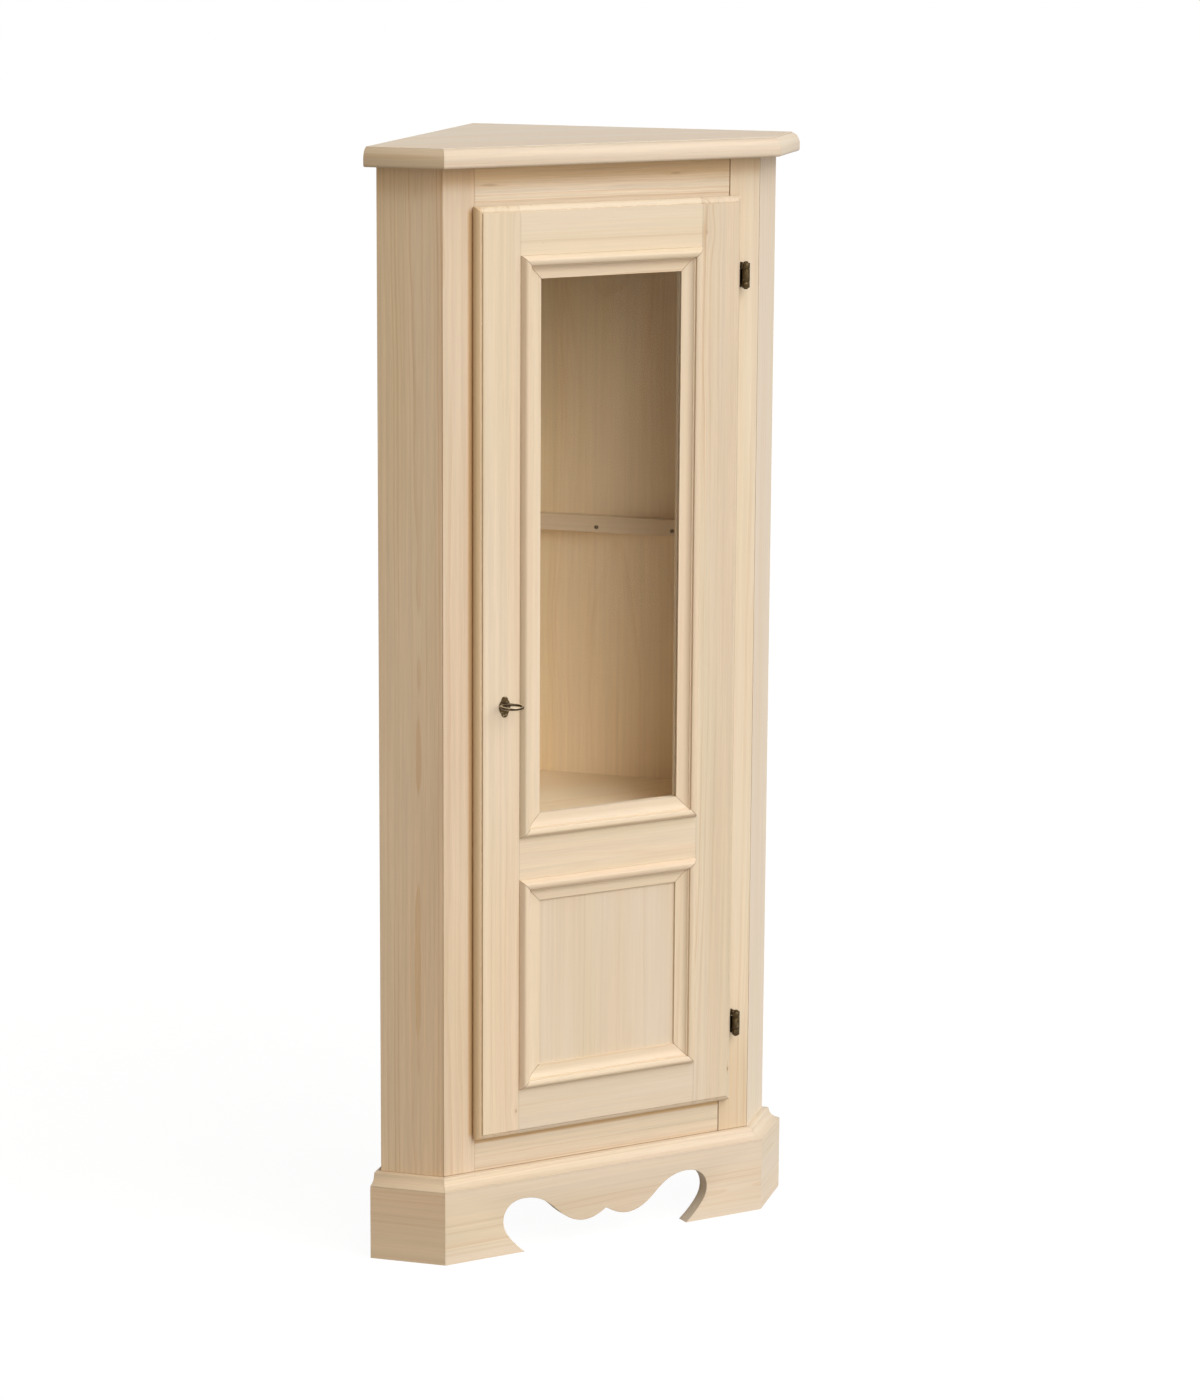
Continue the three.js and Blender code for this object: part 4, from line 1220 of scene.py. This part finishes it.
class CUPBOARD_OT_door_frame(bpy.types.Operator):
    """The door's stiles and rails, cut out of one rounded blank"""

    bl_idname = "cupboard.door_frame"
    bl_label = "Door Frame"

    def execute(self, context):
        shape = context.scene.cupboard_shape
        blank = self.blank(shape.door_edge, shape.door_quirk)
        # Painted shade in the gap behind the door's edges, dirt and painted shade in the quirk, and
        # painted warm shade on the door's left rounding
        back_gap_shade = Seam(TO_ROOM, -DOOR_HIGH.y, 3.8 * MM, 1.0)
        quirk_line = Seam(TO_ROOM, -(DOOR_LOW.y + shape.door_quirk), 0.4 * MM, 0.2)
        left_edge = Seam(-LEVEL, -DOOR_LOW.x, 14 * MM, 0.4, WARM_SHADE)
        left_knots = (
            Knot((-183.5 * MM, DOOR_LOW.y + 6 * MM, 1752 * MM), 2.0 * MM, 4.0, strength=0.25),
            Knot((-168.7 * MM, DOOR_LOW.y, 245.5 * MM), 2.4 * MM, 5.0, strength=0.4),
        )
        right_knots = (
            Knot((243.8 * MM, DOOR_LOW.y, 259.5 * MM), 2.2 * MM, 5.0),
            Knot((182.5 * MM, DOOR_LOW.y, 1698 * MM), 3.0 * MM, 6.0, strength=0.25),
        )
        members = {
            "door_left_stile": Board(UP, TO_ROOM, 0.06, 0.05, knots=left_knots, figure=1.35),
            "door_right_stile": Board(UP, TO_ROOM, 0.05, -0.05, COOL, right_knots, figure=1.5),
            "door_top_rail": Board(LEVEL, TO_ROOM, 0.05, 0.035, LIGHT),
            "door_lock_rail": Board(LEVEL, TO_ROOM, 0.07, 0.02, LIGHT, figure=1.3),
            "door_bottom_rail": Board(LEVEL, TO_ROOM, 0.06, -0.04, COOL),
        }
        for name, board in members.items():
            board.seams = (back_gap_shade, quirk_line)
            low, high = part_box(name)
            piece = copy_of(blank, name + "_worked")
            edit(piece)
            for corner, door_corner, outward in (
                (low, DOOR_LOW, -LEVEL),
                (high, DOOR_HIGH, LEVEL),
                (low, DOOR_LOW, -UP),
                (high, DOOR_HIGH, UP),
            ):
                if (corner - door_corner).dot(outward) < -MM:
                    saw(corner, outward)
            face_out()
            leave_edit()
            if name == "door_left_stile":
                board.seams += (left_edge,)
                cut_out(piece, keyhole_cutter(DOOR_LOW.y - MM, DOOR_HIGH.y + MM))
            if name == "door_right_stile":
                self.cut_leaf_seats(piece)
            smooth(piece)
            settle(piece, wood(piece, board), "door", "pine", name)
        bpy.data.objects.remove(blank)
        return {"FINISHED"}

    def blank(self, rounding, quirk):
        """The whole door as one board, with its rounded edge and the step inside it."""
        back_rounding = 2.4 * MM
        front = DOOR_LOW.y + quirk
        piece = add_box("door_blank", (DOOR_LOW.x, front, DOOR_LOW.z), DOOR_HIGH)
        edit(piece)
        ease_edges(piece, rounding, round_face(front), 7)
        ease_edges(piece, back_rounding, round_face(DOOR_HIGH.y))
        pick(piece, "FACE", lambda face: face.normal.y < -0.999)
        push(Vector((0, -quirk, 0)))
        face_out()
        leave_edit()
        return piece

    def cut_leaf_seats(self, piece):
        for level in ("upper", "lower"):
            low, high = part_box(level + "_hinge_door_leaf")
            seat_low = (low.x - JOINT_GAP, LEAF_FRONT - JOINT_GAP, low.z - JOINT_GAP)
            seat_high = (DOOR_HIGH.x + MM, DOOR_HIGH.y + MM, high.z + JOINT_GAP)
            cut_out(piece, add_box("seat", seat_low, seat_high))


def keyhole_cutter(front, back):
    """A round hole with a slot below it."""
    hole = add_rod("keyhole", 3.2 * MM, (KEY_X, front, KEY_Z), (KEY_X, back, KEY_Z), 32)
    half = 1.5 * MM
    drop = 9 * MM
    slot = add_box("slot", (KEY_X - half, front, KEY_Z - drop), (KEY_X + half, back, KEY_Z))
    join_on(hole, slot)
    return hole


class CUPBOARD_OT_door_mouldings(bpy.types.Operator):
    """The mitred mouldings round the door's glass and panel"""

    bl_idname = "cupboard.door_mouldings"
    bl_label = "Door Mouldings"

    def profile(self):
        """Across the strip and above the door's face: bead, two fillets, cove and a thin lip."""
        thickness = -(DOOR_HIGH.y - DOOR_LOW.y) / MM
        points = [(0, thickness), (24, thickness), (24, -5), (38, -5), (38, -1.6), (30, -1.2)]
        points += bezier([(30, -1.2), (26, -1.2), (21, -1.0), (17.6, 4)], 9)
        points += [(17.6, 5), (15.2, 5), (15, 9)]
        points += bezier([(15, 9), (12, 11), (8, 11)], 6)
        points += bezier([(8, 11), (4, 11), (0, 1)], 9)
        return [(across * MM, rise * MM) for across, rise in points]

    def execute(self, context):
        profile = self.profile()
        for prefix in ("glass_moulding", "panel_moulding"):
            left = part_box(prefix + "_left")[0].x
            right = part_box(prefix + "_right")[1].x
            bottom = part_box(prefix + "_bottom")[0].z
            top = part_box(prefix + "_top")[1].z
            strips = (
                ("top", right, top, -UP, right - left, LEVEL, 0.03),
                ("bottom", left, bottom, UP, right - left, LEVEL, -0.03),
                ("left", left, top, LEVEL, top - bottom, UP, 0.03),
                ("right", right, bottom, -LEVEL, top - bottom, UP, -0.03),
            )
            for name, x, z, across, length, grain, aside in strips:
                full = f"{prefix}_{name}"
                start = Vector((x, DOOR_LOW.y, z))
                along = across.cross(TO_ROOM)
                mitres = (SQUARE_MITRE, SQUARE_MITRE)
                seams = []
                for place, way in ((start, -along), (start + along * length, along)):
                    mitre = (across + way).normalized()
                    seams.append(Seam(mitre, place.dot(mitre), 0.8 * MM, 0.55))
                board = Board(grain, TO_ROOM, 0.05, aside, seams=seams)
                laid = (start, across, TO_ROOM, length)
                piece = strip_piece(full + "_strip", profile, *laid, *mitres)
                settle(piece, wood(piece, board), "door", "pine", full)
        return {"FINISHED"}


class CUPBOARD_OT_door_infill(bpy.types.Operator):
    """The door's panel, its pane and the beads behind the pane"""

    bl_idname = "cupboard.door_infill"
    bl_label = "Panel and Glass"

    def execute(self, context):
        arris = context.scene.cupboard_shape.arris
        panel = Board(UP, TO_ROOM, 0.08, 0.05, COOL, figure=0.7)
        keep_node("door_panel", lambda node: wood(node, panel), arris)
        for side, grain in (("top", LEVEL), ("bottom", LEVEL), ("left", UP), ("right", UP)):
            bead = Board(grain, TO_ROOM)
            keep_node("glass_bead_" + side, lambda node: wood(node, bead), arris)
        keep_node("glass_pane", lambda node: glass(), GROUND_EDGE)
        return {"FINISHED"}


class CUPBOARD_OT_hinges(bpy.types.Operator):
    """Two pin hinges: knuckles, leaves and turned pins with round caps"""

    bl_idname = "cupboard.hinges"
    bl_label = "Hinges"

    knuckle_radius = 6.5 * MM
    knuckle_edge = 0.7 * MM
    bore_radius = 2.1 * MM
    pin_radius = 2.0 * MM
    gap = 0.4 * MM

    def knuckle(self, name, low, high):
        ends = ((HINGE_X, HINGE_Y, low), (HINGE_X, HINGE_Y, high))
        rounding = {"sides": 32, "edge_width": self.knuckle_edge, "steps": 3}
        piece = eased_rod(name, self.knuckle_radius, *ends, **rounding)
        edit(piece)
        pick(piece, "FACE", lambda face: abs(face.normal.z) > 0.99)
        bpy.ops.mesh.inset(thickness=self.knuckle_radius - self.knuckle_edge - self.bore_radius)
        bpy.ops.mesh.bridge_edge_loops()
        face_out()
        leave_edit()
        return piece

    def leaf(self, low, high):
        piece = add_box("leaf", low, high)
        edit(piece)
        ease_edges(piece, GROUND_EDGE, lambda edge: True)
        leave_edit()
        return piece

    def neck(self, back, low, high):
        """Joins a knuckle to its leaf, without reaching into the bore."""
        front = HINGE_Y + self.bore_radius + MM
        return add_box("neck", (HINGE_X - LEAF_HALF, front, low), (HINGE_X + LEAF_HALF, back, high))

    def pin(self, name, low, high):
        """Half the outline of a pin with a low cap at each end, spun round its middle line."""
        cap = [(3.8, 0.0), (3.8, 0.9), (3.5, 1.5), (2.7, 2.0), (1.5, 2.3), (0.0, 2.4)]
        cap = [(radius * MM, rise * MM) for radius, rise in cap]
        outline = [(radius, low - rise) for radius, rise in reversed(cap)]
        outline += [(self.pin_radius, z) for z in (low, (low + high) / 2, high)]
        outline += [(radius, high + rise) for radius, rise in cap]
        points = [Vector((HINGE_X + radius, HINGE_Y, z)) for radius, z in outline]
        piece = draw_outline(name, points)
        pick(piece, "FACE", lambda face: True)
        bpy.ops.mesh.delete(type="ONLY_FACE")
        pick(piece, "EDGE", lambda edge: max(vert.co.x - HINGE_X for vert in edge.verts) > NO_WIDTH)
        spin_round((HINGE_X, HINGE_Y, 0), 28)
        bpy.ops.mesh.delete_loose(use_faces=False)
        face_out()
        leave_edit()
        return piece

    def frame_leaf(self, name, frame_low, frame_high, door_low, door_high):
        spans = ((frame_low.z, door_low.z - self.gap), (door_high.z + self.gap, frame_high.z))
        piece = self.knuckle(name + "_worked", *spans[0])
        upper = self.knuckle("upper knuckle", *spans[1])
        plate_low = (HINGE_X - LEAF_HALF, FRAME_FRONT + JOINT_GAP, frame_low.z)
        plate_high = (HINGE_X + LEAF_HALF, frame_high.y, frame_high.z)
        join_on(piece, self.leaf(plate_low, plate_high))
        join_on(piece, upper)
        for low, high in spans:
            join_on(piece, self.neck(FRAME_FRONT + 2 * MM, low, high))
        smooth(piece, 35)
        settle(piece, bronze(), "carcass", "bronze", name)

    def door_leaf(self, name, low, high):
        bridge_front = HINGE_Y + 7.5 * MM
        bridge_back = bridge_front + 2 * LEAF_HALF
        piece = self.knuckle(name + "_worked", low.z, high.z)
        leaf_high = (DOOR_HIGH.x, DOOR_HIGH.y, high.z)
        join_on(piece, self.leaf((low.x, LEAF_FRONT, low.z), leaf_high))
        bridge_low = (DOOR_HIGH.x - LEAF_HALF, bridge_front, low.z)
        bridge_high = (HINGE_X + LEAF_HALF, bridge_back, high.z)
        join_on(piece, add_box("bridge", bridge_low, bridge_high))
        join_on(piece, self.neck(bridge_back - NO_WIDTH, low.z, high.z))
        smooth(piece, 35)
        settle(piece, bronze(), "door", "bronze", name)

    def execute(self, context):
        for level in ("upper", "lower"):
            frame_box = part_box(level + "_hinge_frame_leaf")
            door_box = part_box(level + "_hinge_door_leaf")
            self.frame_leaf(level + "_hinge_frame_leaf", *frame_box, *door_box)
            self.door_leaf(level + "_hinge_door_leaf", *door_box)
            ends = (frame_box[0].z - self.gap, frame_box[1].z + self.gap)
            pin = self.pin(level + "_hinge_pin_turned", *ends)
            smooth(pin, 50)
            settle(pin, bronze(), "carcass", "bronze", level + "_hinge_pin")
        return {"FINISHED"}


class CUPBOARD_OT_lock(bpy.types.Operator):
    """The lock's case, its bolt and the strike plate"""

    bl_idname = "cupboard.lock"
    bl_label = "Lock"

    def execute(self, context):
        for name in ("lock_case", "lock_bolt", "strike_plate"):
            keep_node(name, lambda node: steel(), GROUND_EDGE)
        return {"FINISHED"}


# Half of the escutcheon's outline, from its top to its bottom, in shares of its half sizes
ESCUTCHEON = [
    (0.3, 1, 0.52, 0.9, 0.55, 0.72),
    (0.58, 0.58, 1, 0.42, 1, 0),
    (1, -0.42, 0.58, -0.58, 0.55, -0.72),
    (0.52, -0.9, 0.3, -1, 0, -1),
]


class CUPBOARD_OT_escutcheon(bpy.types.Operator):
    """The embossed plate round the keyhole"""

    bl_idname = "cupboard.escutcheon"
    bl_label = "Escutcheon"

    # Each layer's share of the outline, then its back, front and rounding in millimetres
    layers = ((1.0, 0.0, 1.0, 0.4), (0.78, 0.5, 1.5, 0.35), (0.5, 1.0, 1.9, 0.35))

    def execute(self, context):
        low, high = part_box("escutcheon")
        middle = (low + high) / 2
        half_width = (high.x - low.x) / 2
        half_height = (high.z - low.z) / 2
        right = curved((0.0, 1.0), ESCUTCHEON, 8)
        outline = right + [(-x, z) for x, z in reversed(right[1:-1])]
        steps = []
        for share, back, front, rounding in self.layers:
            wide, tall, y = half_width * share, half_height * share, high.y - back * MM
            points = [Vector((middle.x + x * wide, y, middle.z + z * tall)) for x, z in outline]
            steps.append(self.layer(points, (front - back) * MM, rounding * MM))
        piece = steps[0]
        for step in steps[1:]:
            join_on(piece, step)
        cut_out(piece, keyhole_cutter(low.y - 2 * MM, high.y + MM))
        smooth(piece, 45)
        settle(piece, plate_bronze(), "door", "bronze", "escutcheon")
        nail_radius = 1.1 * MM
        nail_rise = 0.8 * MM
        nail_front = high.y - 1.3 * MM
        nail_share = 0.86
        for name, side in (("upper", 1), ("lower", -1)):
            place = (middle.x, nail_front, middle.z + side * half_height * nail_share)
            nail = round_head(f"escutcheon_nail_{name}", nail_radius, nail_rise, place, TO_ROOM)
            settle(nail, bronze(), "door", "bronze")
        return {"FINISHED"}

    def layer(self, points, thickness, rounding):
        """One step of the plate, with a rounded front edge."""
        piece = draw_outline("escutcheon_embossed", points)
        thicken(Vector((0, -thickness, 0)))
        ease_edges(piece, rounding, round_face(points[0].y - thickness), 3)
        face_out()
        leave_edit()
        return piece


def round_head(name, radius, rise, place, facing):
    """The domed head of a nail."""
    place = Vector(place)
    piece = add_rod(name, radius, place - facing * 2 * rise, place, 16)
    edit(piece)
    for share in (0.82, 0.62, 0.6):
        pick(piece, "FACE", rod_end(facing))
        push(facing * rise / 3)
        bpy.ops.transform.resize(value=(share, share, share))
    face_out()
    leave_edit()
    smooth(piece, 60)
    return piece


class CUPBOARD_OT_key(bpy.types.Operator):
    """The key with its ring, collar, shank and bit"""

    bl_idname = "cupboard.key"
    bl_label = "Key"

    def execute(self, context):
        tip = KEY_HIGH.y
        edge = 0.5 * MM
        sides = 28
        piece = self.ring(bar_across=3.2 * MM, bar_high=5.2 * MM)
        shank_start = (KEY_X, BOW_BACK - 2.6 * MM, KEY_Z)
        shank_end = (KEY_X, tip, KEY_Z)
        join_on(piece, eased_rod("shank", 2.5 * MM, shank_start, shank_end, sides, edge))
        # Two collars: how far behind the bow, radius and length
        for back, radius, length in ((0.0, 4.0 * MM, 2.4 * MM), (2.7 * MM, 3.3 * MM, 0.6 * MM)):
            start = (KEY_X, BOW_BACK + back, KEY_Z)
            end = (KEY_X, BOW_BACK + back + length, KEY_Z)
            join_on(piece, eased_rod("collar", radius, start, end, sides, edge, 3))
        bit = add_box("bit", (KEY_X, tip - 5 * MM, KEY_Z - MM), (KEY_X + 8 * MM, tip, KEY_Z + MM))
        notch_low = (KEY_X + 5 * MM, tip - 3.2 * MM, KEY_Z - 2 * MM)
        notch_high = (KEY_X + 9 * MM, tip - 2 * MM, KEY_Z + 2 * MM)
        cut_out(bit, add_box("notch", notch_low, notch_high))
        join_on(piece, bit)
        smooth(piece, 40)
        settle(piece, key_metal(), "key", "bronze", "key")
        return {"FINISHED"}

    def ring(self, bar_across, bar_high):
        """The bow: an oval bar spun to a ring, and drawn out to its length."""
        width = KEY_HIGH.x - KEY_LOW.x
        length = BOW_BACK - KEY_LOW.y
        radius = width / 2 - bar_across / 2
        centre = Vector((KEY_X, KEY_LOW.y + length / 2, KEY_Z))
        bar = centre + Vector((radius, 0, 0))
        deselect()
        bpy.ops.mesh.primitive_circle_add(
            vertices=16, radius=bar_across / 2, location=bar, rotation=(math.pi / 2, 0, 0)
        )
        piece = named("key_turned")
        edit(piece)
        bpy.ops.transform.resize(value=(1, 1, bar_high / bar_across), center_override=bar)
        spin_round(centre, 56)
        bpy.ops.transform.resize(value=(1, length / width, 1), center_override=centre)
        face_out()
        leave_edit()
        return piece


def screw(name, place, facing, radius, slot_turn, material, body, slot):
    """A countersunk screw with a slot, turned its own way."""
    place = Vector(place)
    sunk = 1.6 * MM
    proud = 0.1 * MM
    rise = 0.25 * MM
    rim = radius * 0.25
    taper = 0.55
    slot_half = 0.35 * MM
    slot_depth = 0.45 * MM
    piece = add_rod(name, radius, place - facing * sunk, place + facing * proud, 24)
    edit(piece)
    pick(piece, "FACE", rod_end(facing))
    bpy.ops.mesh.inset(thickness=rim)
    bpy.ops.transform.translate(value=facing * rise)
    pick(piece, "FACE", rod_end(-facing))
    bpy.ops.transform.resize(value=(taper, taper, taper))
    face_out()
    leave_edit()
    cutter = add_box("slot", (-radius, -slot_half, -slot_depth), (radius, slot_half, MM))
    turn = facing.to_track_quat("Z", "Y").to_matrix().to_4x4() @ Matrix.Rotation(slot_turn, 4, "Z")
    cutter.matrix_world = Matrix.Translation(place) @ turn
    choose(cutter)
    cut_out(piece, named("slot"))
    smooth(piece, 35)
    settle(piece, material, body, slot)


class CUPBOARD_OT_screws(bpy.types.Operator):
    """The screws of the battens, the hinge leaves, the lock and the strike plate"""

    bl_idname = "cupboard.screws"
    bl_label = "Screws"

    def execute(self, context):
        chance = random.Random(11)
        screws = self.on_battens() + self.on_hinges() + self.on_lock() + self.on_strike()
        for name, place, facing, radius, material, body, slot in screws:
            turn = chance.uniform(0, math.pi)
            screw(name, place, facing, radius, turn, material, body, slot)
        return {"FINISHED"}

    def on_battens(self):
        finish = (3.6 * MM, bronze(), "carcass", "bronze")
        low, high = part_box("shelf_batten_left")
        height = (low.z + high.z) / 2 - 5 * MM
        corner = Vector((0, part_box("rear_corner_post")[1].y, height))
        face = 30.3 * MM
        screws = []
        for side, wall, inward in (("left", LEFT_OUT, RIGHT_OUT), ("right", RIGHT_OUT, LEFT_OUT)):
            for along in (92, 226, 361):
                place = corner + wall * along * MM + inward * face
                screws.append((f"batten_screw_{side}_{along}", place, inward, *finish))
        return screws

    def on_hinges(self):
        finish = (1.9 * MM, bronze(), "door", "bronze")
        screws = []
        for level in ("upper", "lower"):
            low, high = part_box(level + "_hinge_door_leaf")
            for step, share in (("low", 0.25), ("high", 0.75)):
                place = (DOOR_HIGH.x, DOOR_HIGH.y - 2.7 * MM, low.z + (high.z - low.z) * share)
                screws.append((f"{level}_hinge_screw_{step}", place, LEVEL, *finish))
        return screws

    def on_lock(self):
        finish = (2.4 * MM, steel(), "door", "steel")
        low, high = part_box("lock_case")
        screws = []
        for number, (across, up) in enumerate(((0.1, 0.1), (0.9, 0.1), (0.1, 0.9), (0.9, 0.9))):
            place = (low.x + (high.x - low.x) * across, high.y, low.z + (high.z - low.z) * up)
            screws.append((f"lock_screw_{number + 1}", place, -TO_ROOM, *finish))
        return screws

    def on_strike(self):
        finish = (2.2 * MM, steel(), "carcass", "steel")
        low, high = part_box("strike_plate")
        screws = []
        for step, share in (("low", 0.14), ("high", 0.86)):
            place = (high.x, (low.y + high.y) / 2, low.z + (high.z - low.z) * share)
            screws.append((f"strike_screw_{step}", place, LEVEL, *finish))
        return screws


def way_towards(turn, height):
    """The way to a place that stands so far to the right of the front, and so high."""
    level = math.cos(height)
    return Vector((math.sin(turn) * level, -math.cos(turn) * level, math.sin(height)))


class CUPBOARD_OT_stage(bpy.types.Operator):
    """Plain pale floor, soft light and the camera"""

    bl_idname = "cupboard.stage"
    bl_label = "Stage"

    def execute(self, context):
        stage = context.scene.cupboard_stage
        self.add_floor()
        for name in ("key", "front"):
            self.add_lamp(stage, name)
        self.add_world(stage)
        self.add_camera()
        context.scene.view_settings.view_transform = "Standard"
        return {"FINISHED"}

    def by_sight(self, wiring, unseen, seen):
        """One shader for what the camera sees, also in a reflection or through the glass, and
        another for the light that the surface throws back."""
        path = wiring.node("ShaderNodeLightPath").outputs
        straight = wiring.maths("MAXIMUM", path["Is Camera Ray"], path["Is Glossy Ray"])
        share = wiring.maths("MAXIMUM", straight, path["Is Transmission Ray"])
        return wiring.result("ShaderNodeMixShader", (share, unseen, seen))

    def add_floor(self):
        deselect()
        bpy.ops.mesh.primitive_plane_add(size=60)
        floor = named("floor")
        material, wiring = new_material("pale_floor")
        matt = wiring.result("ShaderNodeBsdfDiffuse", {"Color": (0.45, 0.43, 0.41, 1.0)})
        pale = wiring.result("ShaderNodeBsdfDiffuse", {"Color": (0.07, 0.067, 0.063, 1.0)})
        glow = wiring.result("ShaderNodeEmission", {"Strength": 0.96})
        both = wiring.result("ShaderNodeAddShader", (pale, glow))
        wiring.show(self.by_sight(wiring, matt, both))
        floor.data.materials.append(material)

    def add_lamp(self, stage, name):
        """A far, wide lamp, placed by its turn to the right of the front and by its height."""
        deselect()
        bpy.ops.object.light_add(type="SUN", location=(1, -3, 4))
        lamp = bpy.context.active_object
        lamp.name = name + "_light"
        lamp.data.energy = getattr(stage, name + "_light")
        lamp.data.color = getattr(stage, name + "_colour")
        lamp.data.angle = getattr(stage, name + "_softness")
        towards = way_towards(getattr(stage, name + "_turn"), getattr(stage, name + "_height"))
        lamp.rotation_euler = towards.to_track_quat("Z", "Y").to_euler()

    def add_world(self, stage):
        world = bpy.data.worlds.new("studio")
        bpy.context.scene.world = world
        world.use_nodes = True
        world.node_tree.nodes.clear()
        wiring = Wiring(world.node_tree)
        fill_inputs = {"Color": opaque(stage.fill_colour), "Strength": stage.fill_light}
        fill = wiring.result("ShaderNodeBackground", fill_inputs)
        white_inputs = {"Color": (1.0, 1.0, 1.0, 1.0), "Strength": 1.0}
        white = wiring.result("ShaderNodeBackground", white_inputs)
        wiring.show(self.by_sight(wiring, fill, white), "ShaderNodeOutputWorld")

    def add_camera(self):
        """The photograph's camera, worked out from the corners that it shows."""
        target = Vector((-1.92, -198.08, 927.96)) * MM
        distance = 6895.8 * MM
        azimuth = math.radians(-29.179)
        elevation = math.radians(11.921)
        roll = math.radians(0.367)
        focal_pixels = 4150.9
        image_height = 1400
        sensor = 36
        back = way_towards(azimuth, elevation)
        level = Vector((math.cos(azimuth), math.sin(azimuth), 0))
        above = back.cross(level)
        right = math.cos(roll) * level + math.sin(roll) * above
        top = -math.sin(roll) * level + math.cos(roll) * above
        deselect()
        bpy.ops.object.camera_add(location=target + back * distance)
        camera = bpy.context.active_object
        camera.name = "camera"
        camera.rotation_euler = Matrix((right, top, back)).transposed().to_euler()
        camera.data.sensor_fit = "AUTO"
        camera.data.sensor_width = sensor
        camera.data.lens = sensor * focal_pixels / image_height
        bpy.context.scene.camera = camera


class CUPBOARD_PT_panel(bpy.types.Panel):
    """Lists the cupboard's pieces, and the sizes and colours"""

    bl_idname = "CUPBOARD_PT_panel"
    bl_label = "Corner Cupboard"
    bl_space_type = "VIEW_3D"
    bl_region_type = "UI"
    bl_category = "Cupboard"

    def draw(self, context):
        for operator in OPERATORS:
            self.layout.operator(operator.bl_idname)
        for name in SETTINGS:
            box = self.layout.box()
            settings = getattr(context.scene, name)
            for item in settings.bl_rna.properties:
                if item.identifier not in ("rna_type", "name"):
                    box.prop(settings, item.identifier)


OPERATORS = (
    CUPBOARD_OT_boards,
    CUPBOARD_OT_posts,
    CUPBOARD_OT_top_edge,
    CUPBOARD_OT_base_cap,
    CUPBOARD_OT_plinth,
    CUPBOARD_OT_door_frame,
    CUPBOARD_OT_door_mouldings,
    CUPBOARD_OT_door_infill,
    CUPBOARD_OT_hinges,
    CUPBOARD_OT_lock,
    CUPBOARD_OT_escutcheon,
    CUPBOARD_OT_key,
    CUPBOARD_OT_screws,
    CUPBOARD_OT_stage,
)
SETTINGS = {
    "cupboard_wood": CupboardWood,
    "cupboard_shape": CupboardShape,
    "cupboard_metal": CupboardMetal,
    "cupboard_stage": CupboardStage,
}


def register():
    for name, group in SETTINGS.items():
        bpy.utils.register_class(group)
        setattr(bpy.types.Scene, name, bpy.props.PointerProperty(type=group))
    for item in OPERATORS + (CUPBOARD_PT_panel,):
        bpy.utils.register_class(item)


def unregister():
    for item in reversed(OPERATORS + (CUPBOARD_PT_panel,)):
        bpy.utils.unregister_class(item)
    for name, group in SETTINGS.items():
        delattr(bpy.types.Scene, name)
        bpy.utils.unregister_class(group)


def main():
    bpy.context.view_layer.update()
    register()
    bpy.ops.cupboard.boards()
    bpy.ops.cupboard.posts()
    bpy.ops.cupboard.top_edge()
    bpy.ops.cupboard.base_cap()
    bpy.ops.cupboard.plinth()
    bpy.ops.cupboard.door_frame()
    bpy.ops.cupboard.door_mouldings()
    bpy.ops.cupboard.door_infill()
    bpy.ops.cupboard.hinges()
    bpy.ops.cupboard.lock()
    bpy.ops.cupboard.escutcheon()
    bpy.ops.cupboard.key()
    bpy.ops.cupboard.screws()
    bpy.ops.cupboard.stage()
    deselect()


if __name__ == "__main__":
    main()
